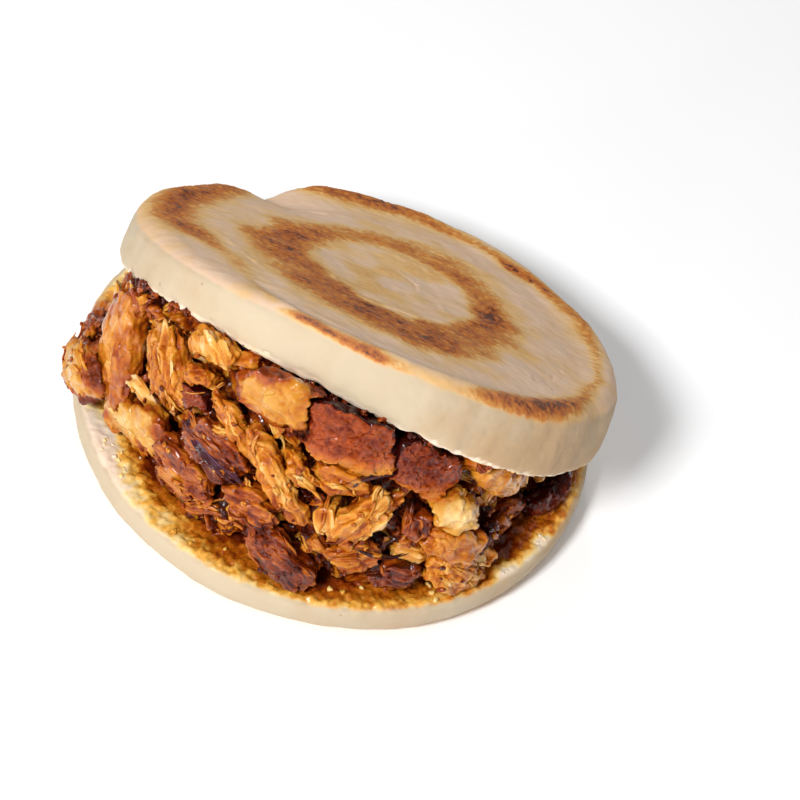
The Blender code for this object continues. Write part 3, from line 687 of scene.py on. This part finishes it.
# every large piece: what it is, how pale (0 near black to 1 pale tan), how wet, and how torn its ends are
largePieces = {
    "rind_front": ("rind", 0.48, 1.0, 0.2), "rind_right": ("rind", 0.42, 1.0, 0.3),
    "rind_dark": ("rind", 0.36, 0.9, 0.3), "piece_right": ("rind", 0.28, 0.9, 0.8),
    "fat_slab": ("fat", 0.45, 0.9, 0.5), "shred_long": ("lean", 0.72, 0.5, 1.6),
    "striated": ("lean", 0.72, 0.5, 1.3), "tan_block": ("lean", 0.72, 0.5, 0.6),
    "gold_upper": ("fat", 0.76, 0.7, 0.8), "gold_lower": ("lean", 0.62, 0.6, 0.9),
    "strip_left": ("lean", 0.64, 0.9, 0.8), "flap_left": ("fat", 0.60, 0.9, 0.9),
    "torn_left": ("lean", 0.66, 0.4, 1.6), "slab_dark": ("lean", 0.28, 0.8, 0.8),
    "slab_low": ("lean", 0.40, 0.8, 0.9), "pale_right": ("lean", 0.76, 0.7, 0.9),
    "red_foot": ("lean", 0.28, 0.9, 1.2), "chunk_cross": ("lean", 0.76, 0.3, 0.8),
    "brown_right": ("lean", 0.36, 0.6, 1.0), "shred_short": ("lean", 0.68, 0.3, 1.4),
    "shred_upper": ("lean", 0.58, 0.4, 1.4), "chunk_low": ("lean", 0.44, 0.8, 0.9),
    "striated_low": ("lean", 0.50, 0.5, 1.2), "tan_under": ("lean", 0.50, 0.4, 0.9),
    "dark_foot": ("lean", 0.20, 1.0, 0.8), "red_knob": ("lean", 0.32, 0.9, 0.7),
    "cube_small": ("lean", 0.58, 0.3, 0.5), "lump_left": ("fat", 0.54, 0.7, 0.9),
    "knob_left": ("lean", 0.42, 0.8, 0.9),
}
smoothPieces = ["strip_left", "gold_lower", "pale_right"]
loosePieces = ["lump_left"]
skinPieces = smoothPieces + ["chunk_cross"]
skinPieces += [name for name, row in largePieces.items() if row[0] != "lean" and name not in loosePieces]
largeForm = dict(voxel=0.34 * mm, relax=3, rindWrinkle=0.36, fatLump=0.50, looseLump=0.9, beads=0.75,
                 leanSway=1.25, sway=1.6, rounding=0.13, leanLump=0.60, tear=1.2 * mm, rindLump=0.55,
                 layers=0.35)
slots = {part["node"]: part["material_slot"] for part in frame["record"]["subparts"]}


def buildLargePiece(index, name, kind, pale, moist, tear):
    form = largeForm
    mesh, points, normals = remeshed("pork_" + name, form)
    centre, axes = grainFrame(points)
    if name == "chunk_cross":  # cut across its grain
        axes = axes[:, [1, 0, 2]] * (1, -1, 1)
    q = (points - centre) @ axes / mm
    share = np.abs(q) / np.abs(q).max(axis=0)
    seed = 60 + index * 7
    warp = [layeredNoise(q / 3.3 + index, 3, seed + 10 + i) for i in range(2)]
    sway = form["leanSway"] if kind == "lean" else form["sway"]
    points += np.stack(warp, axis=1) @ axes[:, :2].T * sway * mm
    if kind != "lean":
        corner = form["rounding"] * smoothStep(share[:, 0] * share[:, 1], 0.35, 0.95) * (1 + warp[0])
        points -= corner[:, None] * ((points - centre) @ axes[:, :2]) @ axes[:, :2].T
    foot = smoothStep(-(points - centre)[:, 2] / mm, 0.5, 5.0)
    stain = layeredNoise(q / 3.2 + index, 3, seed + 6)
    # darker deeper into the heap, away from the piece's outer face: painted shade, with gravy gathered there
    tone = pale + 0.16 * stain - 0.20 * smoothStep(q[:, 2].max() - q[:, 2], 1.5, 5.0)
    fibre = q / (7.0, 0.8, 0.8)
    if kind == "lean":
        move, ridge, shade = fibrous(q + index, seed)
        if name in smoothPieces:
            move, ridge = move * 0.45, 0.30 + 0.45 * ridge
        move += form["leanLump"] * layeredNoise(q / 4.0, 2, seed + 5)
        ends = smoothStep(share[:, 0], 0.5, 1.0) * np.sign(q[:, 0])
        points += np.outer(ends * shade * tear * form["tear"], axes[:, 0])
        tone += 0.08 * shade - 0.10 * foot
    elif kind == "rind":
        bent = q / (1.35, 0.70, 0.9) + 0.45 * smoothNoise(q / 1.9, seed + 2)[:, None]
        ridge = 0.6 * crests(bent, seed) + 0.4 * crests(bent * 1.9, seed + 7)
        skin = smoothStep(normals @ axes[:, 2], 0.0, 0.6)
        move = form["rindWrinkle"] * (ridge - 0.5) * skin * 2
        move += form["rindLump"] * layeredNoise(q / 4.5, 2, seed + 5)
        move += form["layers"] * (1 - skin) * layeredNoise(q / (3, 1.2, 0.6), 2, seed + 8)
        tone += 0.36 * foot * smoothStep(pale, 0.38, 0.44) - 0.36 * (1 - skin) * (1 - foot)
        ridge = 0.30 + 0.45 * ridge * skin + 0.25 * foot
        fibre = bent * 0.8
    else:
        near = cellNoise(q / 1.9 + 0.4 * smoothNoise(q / 1.5, seed + 2)[:, None], seed)[0]
        beads = np.maximum(0, 0.75 - near)
        ridge = 0.35 + 0.7 * beads
        lump = form["looseLump"] if name in loosePieces else form["fatLump"]
        move = lump * layeredNoise(q / 3.6, 2, seed) + form["beads"] * beads
        move += 0.12 * layeredNoise(q / 0.9, 2, seed + 1)
        edge = share[:, :2].max(axis=1)
        tone += 0.16 - 0.25 * foot - 0.50 * smoothStep(edge + 0.3 * stain, 0.55, 1.05)
    points = pressed(points + normals * (move * mm)[:, None])
    if kind == "lean":
        grainSpots.append(np.hstack([points, np.tile(axes[:, 0], (len(points), 1)), tone[:, None]])[::23])
    node = "pork_" + name
    return addPiece(name, mesh, points, porkKinds[kind], slots[node], node, tone=tone, ridge=ridge,
                    wet=moist + 0.45 * layeredNoise(q / 2.2, 2, seed + 9), fibre=fibre + seed)


grainSpots = []  # place, direction and tone of the grain of the lean pieces
porkKinds = dict(lean=porkMeat, rind=porkRind, fat=porkFat)
large = [buildLargePiece(i, name, *row) for i, (name, row) in enumerate(largePieces.items())]
print("large pieces made")


def heapLevel(points):  # 0 at the foot of the heap and 1 under the upper half
    inner = toTop(points)
    over = underside(*inner.T[:2]) - inner[:, 2]
    under = (points[:, 2] - crumbTop(points)) / mm
    return np.clip(under / np.maximum(0.5, under + over), 0, 1)


def toneField(points):  # darker and wetter towards the foot, paler on the left
    azimuth = polar(points)[1]
    level = heapLevel(points)
    tone = 0.34 + 0.20 * smoothStep(level, 0.05, 0.55) + 0.10 * bump(turned(azimuth, -150), 40)
    # darker just under the upper half's lip: painted shade
    tone -= 0.10 * bump(turned(azimuth, -66), 26) * (1 - level) + 0.20 * smoothStep(level, 0.92, 0.99)
    return tone + 0.20 * layeredNoise(points / (6 * mm), 2, 71)


coreForm = dict(voxel=1.0 * mm, relax=2, sink=0.55, flake=4.4, crevice=1.5, strands=0.85, steps=1.5,
                darker=0.22, mmPerDegree=0.8)
faceFrom = 33 * mm  # the heap's shown face starts this far from the middle


def buildCore():
    form = coreForm
    mesh, points, normals = remeshed("pork_heap", form, lambda centres: polar(centres)[0] > faceFrom)
    p = points / mm
    bent = p + np.stack([smoothNoise(p / 5, seed) for seed in (81, 82, 83)], axis=1)
    near, second, key = cellNoise(bent / form["flake"], 84)
    lean, raised, shade = scatterSpots[key].T
    level = p[:, 2]
    deep, azimuth = polar(p)
    sideways = azimuth * form["mmPerDegree"]
    along = sideways * np.cos(lean * math.pi) + level * np.sin(lean * math.pi)
    over = level * np.cos(lean * math.pi) - sideways * np.sin(lean * math.pi)
    fibre = np.stack([along / 6, over / 1.1, deep / 1.4], axis=1) + key[:, None]
    ridge = 0.6 * crests(fibre, 85) + 0.4 * crests(fibre * (1.6, 2.1, 2.1), 86)
    split = smoothStep(second - near, 0.03, 0.30)
    move = form["strands"] * (ridge - 0.5) - form["sink"] + form["crevice"] * (split - 0.85)
    move += form["steps"] * (raised - 0.5) * split
    points = pressed(points + normals * (move * mm)[:, None])
    # darker in the crevices between flakes: painted shade, with gravy in them
    tone = toneField(points) - form["darker"] + 0.30 * (shade - 0.5) - 0.32 * (1 - split)
    return addPiece("porkCore", mesh, points, porkCore, "heap", "pork_heap", tone=tone, ridge=ridge,
                    wet=0.9 - 0.35 * raised, fibre=fibre)


core = buildCore()
print("core made")


def treeOf(things):
    bm = bmesh.new()
    for thing in things:
        bm.from_mesh(thing.data)
    tree = BVHTree.FromBMesh(bm)
    bm.free()
    return tree


def facePlaces(count, tries, seed, tree=None):
    # places on the shown face, each as far as possible from those before it, and clear of what the tree holds
    draw = np.random.default_rng(seed)
    mesh = core.data
    mesh.calc_loop_triangles()
    corners = np.empty(len(mesh.loop_triangles) * 3, int)
    mesh.loop_triangles.foreach_get("vertices", corners)
    corners = readOut(mesh.vertices, "co")[corners.reshape(-1, 3)]
    middle = corners.mean(axis=1)
    face = np.cross(corners[:, 1] - corners[:, 0], corners[:, 2] - corners[:, 0])
    area = np.linalg.norm(face, axis=1)
    radial = unit(middle * (1, 1, 0))
    level = heapLevel(middle)
    shown = np.einsum("ij,ij->i", face, radial) > 0.2 * area
    shown &= (polar(middle)[0] > faceFrom) & (level > 0) & (level < 1)
    chance = np.where(shown, area, 0)
    picked = draw.choice(len(middle), size=count * tries, p=chance / chance.sum())
    points, outs = middle[picked], unit(unit(face[picked]) * 0.6 + radial[picked])
    if tree:
        clear = [tree.ray_cast(Vector(p + out * 12 * mm), Vector(-out), 13.5 * mm)[0] is None
                 for p, out in zip(points, outs)]
        points, outs = points[clear], outs[clear]
    order = []
    left = np.arange(len(points))
    apart = np.full(len(points), 1.0)
    for _ in range(min(count, len(points))):
        options = draw.choice(left, size=min(tries, len(left)), replace=False)
        best = options[np.argmax(apart[options])]
        order.append(best)
        apart = np.minimum(apart, np.linalg.norm(points - points[best], axis=1))
    return points[order], outs[order], draw


def copiesOf(bm, count):  # count copies on each other, to be shaped one by one
    mesh = modified(meshOf(bm), "ARRAY", count=count, use_relative_offset=False, use_constant_offset=True,
                    constant_offset_displace=(0, 0, 0))
    return mesh, readOut(mesh.vertices, "co").reshape(count, -1, 3)


def framesFor(outs, spin):  # along, across and out for each copy
    flat = unit(np.cross(np.array((0, 0, 1.0)), outs))
    high = np.cross(outs, flat)
    along = flat * np.cos(spin)[:, None] + high * np.sin(spin)[:, None]
    return np.stack([along, np.cross(outs, along), outs], axis=2)


def stoodAt(q, axes, where):  # copies from their own millimetres to their places in the world
    return (np.einsum("cnk,cik->cni", q * mm, axes) + where[:, None, :]).reshape(-1, 3)


# proportions to the length, knife cuts, and how the pieces lie on the face
choppedForm = dict(width=(0.34, 0.64), thickness=(0.28, 0.5), squareness=(3.2, 6.0), cuts=4,
                   cutDepth=(0.50, 0.9), spin=(-0.9, 0.75), lift=(-0.25, 0.40), relief=0.8, lumps=0.50,
                   torn=0.8)


def buildChopped(name, slot, count, tries, seed, cuts, size, pale, tree=None):
    form = choppedForm
    where, outs, draw = facePlaces(count, tries, seed, tree)
    count = len(where)
    bm = bmesh.new()
    bmesh.ops.create_cube(bm, size=2)
    bmesh.ops.subdivide_edges(bm, edges=bm.edges, cuts=cuts, use_grid_fill=True)
    mesh, shape = copiesOf(bm, count)
    power = draw.uniform(*form["squareness"], (count, 1, 1))
    shape = shape / np.sum(np.abs(shape) ** power, axis=2, keepdims=True) ** (1 / power)
    scale = np.sort(draw.uniform(0, 1, count))[::-1]
    long = size[0] + (size[1] - size[0]) * scale
    half = [long, long * draw.uniform(*form["width"], count), long * draw.uniform(*form["thickness"], count)]
    half = np.stack(half, axis=1) * 0.5
    q = shape * half[:, None, :]
    for _ in range(form["cuts"]):
        blade = unit(draw.normal(size=(count, 1, 3)))
        depth = draw.uniform(*form["cutDepth"], (count, 1)) * np.min(half, axis=1)[:, None]
        past = np.maximum(0, np.sum(q * blade, axis=2) - depth)
        q = q - past[:, :, None] * blade
    offset = np.arange(count)[:, None, None] * (3.7, 5.1, 2.3)
    flat = (q + offset).reshape(-1, 3)
    move, ridge, shade = (field.reshape(count, -1) for field in fibrous(flat, seed + 1))
    lumps = layeredNoise(flat / 2.4, 2, seed + 3).reshape(count, -1)
    small = np.minimum(1, half.min(axis=1) / 1.7)[:, None]
    move = (form["relief"] * move + form["lumps"] * lumps) * small
    q = q + unit(q / half[:, None, :] ** 2) * move[:, :, None]
    ends = smoothStep(np.abs(q[:, :, 0]) / half[:, :1], 0.4, 1.0)
    q[:, :, 0] += ends * shade * np.sign(q[:, :, 0]) * form["torn"] * small
    high = np.clip(q[:, :, 2] / half[:, 2:], -1, 1)
    axes = framesFor(outs, draw.normal(*form["spin"], count))
    lift = draw.uniform(*form["lift"], count) * half[:, 2]
    points = pressed(stoodAt(q, axes, where + outs * (lift * mm)[:, None]))
    tones = toneField(where) + pale + draw.normal(0, 0.13, count)
    # each copy is paler on its upper side and darker underneath: painted light and shade, with gravy gathered
    # below
    return addPiece(name, mesh, points, porkMeat, slot,
                    tone=tones[:, None] + 0.18 * lumps + 0.08 * shade + 0.20 * high, ridge=ridge,
                    wet=draw.uniform(0.2, 1.0, count), fibre=(q + offset) / (7.0, 0.8, 0.8))


chunks = buildChopped("choppedChunks", "lean_gold", count=105, tries=14, seed=101, cuts=8, size=(6.5, 12.5),
                      pale=0.10, tree=treeOf(large))
bits = buildChopped("choppedBits", "heap", count=330, tries=8, seed=102, cuts=4, size=(2.6, 5.2), pale=-0.07)
print("chopped pieces made")


def dropOn(tree, points, outs, reach=16 * mm):  # moves places out to what lies over them
    landed, normals = [], []
    for p, out in zip(points, outs):
        spot, normal, _, _ = tree.ray_cast(Vector(p + out * reach), Vector(-out), 2 * reach)
        landed.append(spot if spot else p)
        normals.append(normal if spot else out)
    return np.array(landed), np.array(normals)


def uneven(points, *layers):  # 1 and a little more or less for each point of each copy
    flat = points.reshape(-1, 3)
    total = sum(strength * smoothNoise(flat * scale, seed) for strength, scale, seed in layers)
    return 1 + total.reshape(len(points), -1)


def strandMesh(rows, flat, seed):
    # a tapering torn strand for each row, which gives its line of points, out, half width, tone and wetness
    spines, outs, width, tones, moist = (np.array(column) for column in zip(*rows))
    count, rings = spines.shape[:2]
    bm = bmesh.new()
    bmesh.ops.create_cone(bm, cap_ends=True, segments=6, radius1=1, radius2=1, depth=rings - 1)
    for i in range(1, rings - 1):
        bmesh.ops.bisect_plane(bm, geom=bm.verts[:] + bm.edges[:] + bm.faces[:],
                               plane_co=(0, 0, i - (rings - 1) / 2), plane_no=(0, 0, 1))
    mesh, shape = copiesOf(bm, count)
    ring = np.round(shape[0, :, 2] + (rings - 1) / 2).astype(int)
    t = ring / (rings - 1) * 2 - 1
    tangent = unit(np.gradient(spines, axis=1))
    side = unit(np.cross(outs[:, None, :], tangent))
    high = np.cross(tangent, side)
    number = np.arange(count)[:, None, None] * 2.7
    rough = uneven(shape * (0.9, 0.9, 0.42) + number, (0.40, 1, seed), (0.22, 2.2, seed + 1))
    taper = np.sqrt(np.maximum(0.06, 1 - 0.94 * np.abs(t) ** 3.5)) * rough
    ragged = uneven(shape * (1.4, 1.4, 0) + number, (1, 1, seed + 2)) - 1
    points = spines[:, ring] + side[:, ring] * (shape[:, :, 0] * taper * width[:, None])[:, :, None]
    points += high[:, ring] * (shape[:, :, 1] * taper * width[:, None] * flat)[:, :, None]
    points += tangent[:, ring] * (ragged * np.abs(t) ** 3 * width[:, None] * 2.2)[:, :, None]
    upper = shape[:, :, 1] * np.sign(np.einsum("cnk,ck->cn", high[:, ring], outs))
    return mesh, points.reshape(-1, 3), t, upper, tones[:, None], moist


def lineThrough(steps, t, places):
    return np.stack([np.interp(steps, t, places[:, i]) for i in range(3)], axis=1)


def laidOver(tree, path, out, ease):  # a line of places let down on what lies under it
    reach = 6 * mm
    heights = []
    for spot in path:
        hit = tree.ray_cast(Vector(spot + out * reach), Vector(-out), 2 * reach)
        heights.append(reach - hit[3] if hit[0] else -1.5 * mm)
    middle = heights[len(heights) // 2]
    heights = np.clip(heights, middle - 1.6 * mm, middle + 1.4 * mm)
    soft = np.convolve(np.pad(heights, 2, mode="edge"), np.ones(5) / 5, mode="valid")
    return path + np.outer(heights * (1 - ease) + soft * ease, out)


shredForm = dict(bundles=290, rings=10, length=(3.5, 10.5), strands=(1, 5), half=(0.20, 0.50), spacing=1.30,
                 flat=0.62, offSkin=1.0 * mm, sameGrain=1.5 * mm, fall=(0.5, 0, -0.7), ease=0.75)


def buildShreds():
    form = shredForm
    under = treeOf(large + [chunks, bits, core])
    spots = np.vstack(grainSpots)
    where, outs, draw = facePlaces(form["bundles"], 8, 103)
    where, faces = dropOn(under, where, outs)
    rows = []
    for place, out, face in zip(where, outs, faces):
        if skins.find_nearest(Vector(place))[3] < form["offSkin"]:
            continue
        out = unit(0.6 * out + face)
        gaps = np.linalg.norm(spots[:, :3] - place, axis=1)
        near = gaps.min() < form["sameGrain"]
        spot = spots[gaps.argmin()]
        along = spot[3:6] + 0.16 * draw.normal(size=3) if near else form["fall"] + 0.5 * draw.normal(size=3)
        along = unit(along - out * (along @ out))
        side = np.cross(out, along)
        length = draw.uniform(*form["length"]) * mm
        t = np.linspace(-1, 1, 15)
        sway = smoothNoise(np.stack([t * 1.1, t * 0 + len(rows), t * 0], axis=1), 113)
        path = place + np.outer(t * length / 2, along) + np.outer(sway * length * 0.05, side)
        path = laidOver(under, path, out, form["ease"])
        half = draw.uniform(*form["half"]) * mm
        number = draw.integers(*form["strands"])
        tone = (spot[6] if near else toneField(place[None, :])[0]) + draw.normal(0.04, 0.10)
        wetness = draw.uniform(0.2, 0.9)
        for k in range(number):
            start, end = -1 + draw.uniform(0, 0.9), 1 - draw.uniform(0, 0.9)
            steps = np.linspace(start, end, form["rings"])
            aside = k - (number - 1) / 2
            across = aside * form["spacing"] * half + draw.normal(0, 0.15) * half
            fan = np.outer(steps * across * draw.uniform(-0.25, 0.45), side)
            height = half * (0.30 + draw.uniform(-0.2, 0.45) - 0.10 * abs(aside))
            line = lineThrough(steps, t, path) + side * across + fan + out * height
            rows.append((line, out, half * draw.uniform(0.75, 1.25), tone + draw.normal(0, 0.06), wetness))
    mesh, points, t, high, tones, moist = strandMesh(rows, form["flat"], 114)
    stain = layeredNoise(points / (2.6 * mm), 2, 115).reshape(len(rows), -1)
    # the upper side of each strand is paler: painted light
    tone = tones + 0.10 * high - 0.10 * np.abs(t) ** 3 + 0.22 * stain
    along = t + np.arange(len(rows))[:, None]
    return addPiece("porkShreds", mesh, pressed(points), porkMeat, "lean_gold", tone=tone,
                    ridge=0.5 + 0.25 * high, wet=moist, fibre=np.stack([along, high * 1.2, high * 0], axis=2))


skins = treeOf([thing for thing in large if thing.name in skinPieces])
shreds = buildShreds()
print("shreds made")


def crumbShapes(where, outs, draw, size, sink=0.2, narrow=(0.8, 0.5, 0.4), broad=(1.4, 0.9, 0.8)):
    # rough little lumps lying at the given places
    count = len(where)
    bm = bmesh.new()
    bmesh.ops.create_icosphere(bm, subdivisions=2, radius=1)
    mesh, shape = copiesOf(bm, count)
    shift = np.arange(count)[:, None, None] * (1.7, 3.1, 0.9)
    rough = uneven(shape * 1.1 + shift, (0.55, 1, 121), (0.25, 2.3, 122))
    half = draw.uniform(*size, (count, 1)) * draw.uniform(narrow, broad, (count, 3)) * 0.5
    q = shape * rough[:, :, None] * half[:, None, :]
    axes = framesFor(outs, draw.uniform(0, 2 * math.pi, count))
    lift = half[:, 2:] * (1 - 2 * sink)
    return mesh, stoodAt(q, axes, where + outs * lift * mm), np.clip(rough - 0.5, 0, 1), q + shift


crumbForm = dict(count=800, size=(0.35, 1.5), offSkin=0.8 * mm, tone=(-0.06, 0.16))


def buildMeatCrumbs():
    form = crumbForm
    where, outs, draw = facePlaces(form["count"], 3, 104)
    where, faces = dropOn(treeOf(large + [chunks, bits, core, shreds]), where, outs)
    bare = np.array([skins.find_nearest(Vector(place))[3] > form["offSkin"] for place in where])
    where, outs, faces = where[bare], outs[bare], faces[bare]
    tones = toneField(where) + draw.normal(*form["tone"], len(where))
    mesh, points, ridge, fibre = crumbShapes(where, unit(outs + faces), draw, form["size"])
    return addPiece("meatCrumbs", mesh, pressed(points), porkMeat, "heap", tone=tones, ridge=ridge,
                    wet=draw.uniform(0.2, 1, len(where)), fibre=fibre)


# crisp dark bits caught under the lip: from and to in azimuth, and how many
charForm = dict(radius=50.7, stray=0.9, height=(-0.7, 0.55), size=(0.5, 2.0), sink=0.4, tone=(-0.05, 0.38),
                runs=[(-152, -130, 22), (-130, -119, 20), (-114, -100, 9), (-92, -76, 14), (-74, -61, 20),
                      (-50, -30, 3)])


def buildLipChar():
    form = charForm
    draw = np.random.default_rng(105)
    azimuth = np.radians(np.concatenate([draw.uniform(*run) for run in form["runs"]]))
    count = len(azimuth)
    r = form["radius"] + draw.uniform(-form["stray"], form["stray"], count)
    x, y = r * np.cos(azimuth), r * np.sin(azimuth)
    where = fromTop(np.stack([x, y, underside(x, y) + draw.uniform(*form["height"], count)], axis=1))
    outs = np.stack([np.cos(azimuth), np.sin(azimuth), azimuth * 0], axis=1) @ topAxes.T
    mesh, points, ridge, fibre = crumbShapes(where, outs, draw, form["size"], sink=form["sink"])
    return addPiece("lipChar", mesh, points, porkMeat, "heap", tone=draw.uniform(*form["tone"], count),
                    ridge=ridge, wet=draw.uniform(0.1, 0.8, count), fibre=fibre)


# loose bread on the lower cut face, in clusters: x, y, reach, how many, how soaked and how large
crumbClusters = [(48.2, -20.3, 1.0, 4, 0.00, 1.1), (43.9, -31.6, 1.2, 5, 0.00, 1.1),
                 (-41.5, -30.5, 2.6, 9, 0.12, 1.1), (-38.0, -35.0, 2.4, 6, 0.20, 1.1),
                 (32, -42.5, 2.5, 5, 0.3, 1.8), (-18, -48.5, 3.5, 5, 0.45, 1.8),
                 (14, -51.0, 3.5, 5, 0.42, 1.8)]
breadCrumbForm = dict(smallest=0.6, sink=0.46, narrow=(0.8, 0.6, 0.5), broad=(1.1, 1.0, 0.8),
                      within=53.4 * mm)


def buildBreadCrumbs():
    form = breadCrumbForm
    draw = np.random.default_rng(106)
    tree = treeOf([bunBottom])
    rows = []
    for x, y, reach, number, soaked, largest in crumbClusters:
        for _ in range(number):
            above = Vector((x + draw.normal(0, reach), y + draw.normal(0, reach), 30)) * mm
            spot, normal, _, _ = tree.ray_cast(above, Vector((0, 0, -1)))
            if spot and math.hypot(spot.x, spot.y) < form["within"]:
                rows.append((spot, normal, soaked + draw.normal(0, 0.05), [largest]))
    where, outs, wet, most = (np.array(column) for column in zip(*rows))
    mesh, points, _, fibre = crumbShapes(where, outs, draw, (form["smallest"], most), form["sink"],
                                         form["narrow"], form["broad"])
    return addPiece("breadCrumbs", mesh, points, bread, "bun", crumb=1, wet=np.clip(wet, 0, 1), toast=0,
                    crown=0, pale=0, warm=0, wrinkle=fibre)


# a photo pixel is met by a point: the burger's foot lies at pixel (328, 424.5)
photo = dict(elevation=48.92, roll=17.44, distance=0.560, pixelsPerMm=4.724, footX=328.0, footY=424.5,
             size=800, sensor=36)


def cameraAxes():  # where the camera stands, and its right, up and back
    elevation, roll = math.radians(photo["elevation"]), math.radians(photo["roll"])
    place = Vector((0, -math.cos(elevation), math.sin(elevation))) * photo["distance"]
    back = place.normalized()
    right = Vector((1, 0, 0))
    up = back.cross(right)
    rolled = [right * math.cos(roll) + up * math.sin(roll), up * math.cos(roll) - right * math.sin(roll)]
    return place, *rolled, back


def photoRay(u, v):
    place, right, up, back = cameraAxes()
    focal = photo["pixelsPerMm"] * photo["distance"] / mm
    aside, below = (u - photo["footX"]) / focal, (v - photo["footY"]) / focal
    return place, (right * aside - up * below - back).normalized()


# dark sinews lying on the meat: the photo pixels they pass, how many strands, half width in mm, palest tone
sinews = dict(long=([(184, 421), (197, 440), (212, 458), (227, 471), (243, 487)], 18, 0.15, 0.60),
              short=([(350, 490), (362, 480), (380, 476), (400, 474)], 5, 0.13, 0.22),
              foot=([(352, 548), (372, 556), (392, 558), (410, 552)], 6, 0.13, 0.18))


def buildSinews():
    draw = np.random.default_rng(107)
    tree = treeOf(large + [chunks, bits, core, shreds])
    rows = []
    for pixels, number, half, palest in sinews.values():
        hits = [tree.ray_cast(*photoRay(u, v)) for u, v in pixels]
        spots = np.array([hit[0] for hit in hits])
        out = unit(np.array([hit[1] for hit in hits]).mean(axis=0))
        side = unit(np.cross(out, spots[-1] - spots[0]))
        for k in range(number):
            steps = np.linspace(draw.uniform(0, 0.12), 1 - draw.uniform(0, 0.2), 10)
            line = lineThrough(steps, np.linspace(0, 1, len(spots)), spots)
            across = (k - (number - 1) / 2 + draw.normal(0, 0.5)) * half * mm
            lift = draw.uniform(0.0, 0.25) * mm
            line = line + np.outer(across * (0.35 + 0.8 * np.sin(steps * 3)), side) + out * lift
            rows.append((line, out, half * draw.uniform(0.7, 1.1) * mm, palest * draw.uniform(0.2, 1.0), 1))
    mesh, points, t, high, tones, moist = strandMesh(rows, 0.7, 117)
    fibre = np.stack(np.broadcast_arrays(t, high, np.arange(len(rows))[:, None]), axis=2)
    # the upper side of each strand is paler: painted light
    return addPiece("sinews", mesh, points, porkSinew, "lean_dark", tone=tones + 0.15 * high,
                    ridge=0.5 + 0.3 * high, wet=moist, fibre=fibre)


buildMeatCrumbs()
buildLipChar()
buildBreadCrumbs()
buildSinews()
print("crumbs, char and sinews made")


# floor, light and camera
def buildFloor():
    bm = bmesh.new()
    bmesh.ops.create_grid(bm, x_segments=2, y_segments=2, size=3)
    floor = placed(bpy.data.objects.new("floor", meshOf(bm)))
    paint = Paint("paleFloor", Base_Color=(0.985, 0.985, 0.99, 1), Roughness=0.9)
    floor.data.materials.append(paint.material)


def buildCamera():
    place, right, up, back = cameraAxes()
    camera = bpy.data.objects.new("camera", bpy.data.cameras.new("camera"))
    camera.matrix_world = Matrix.Translation(place) @ Matrix((right, up, back)).transposed().to_4x4()
    camera.data.sensor_width = photo["sensor"]
    camera.data.lens = photo["pixelsPerMm"] * photo["distance"] / mm / photo["size"] * photo["sensor"]
    camera.data.shift_x = (photo["size"] / 2 - photo["footX"]) / photo["size"]
    camera.data.shift_y = (photo["footY"] - photo["size"] / 2) / photo["size"]
    scene.camera = placed(camera)


# place, size and power; the key light's direction is the one that casts the photo's floor shadow
lights = dict(key=((-0.31, -0.66, 0.71), 0.17, 9.8), top=((0.05, 0.25, 1.10), 0.90, 2.6),
              left=((-0.55, -0.62, 0.11), 0.055, 0.72), front=((-0.08, -0.85, 0.10), 0.055, 0.66),
              right=((0.42, -0.74, 0.10), 0.055, 0.62), back=((-0.20, 0.66, 0.70), 0.10, 0.9))
lightTarget = (0, 0, 0.03)
skyStrength = 0.22


def buildLights():
    for name, (place, size, power) in lights.items():
        light = bpy.data.lights.new(name, "AREA")
        light.size = size
        light.energy = power
        thing = placed(bpy.data.objects.new(name, light))
        thing.location = place
        thing.rotation_euler = (Vector(lightTarget) - Vector(place)).to_track_quat("-Z", "Y").to_euler()
    world = bpy.data.worlds.new("studio")
    world.use_nodes = True
    background = world.node_tree.nodes["Background"]
    background.inputs["Color"].default_value = (1, 1, 1, 1)
    background.inputs["Strength"].default_value = skyStrength
    scene.world = world


buildFloor()
buildCamera()
buildLights()
print("stage made")
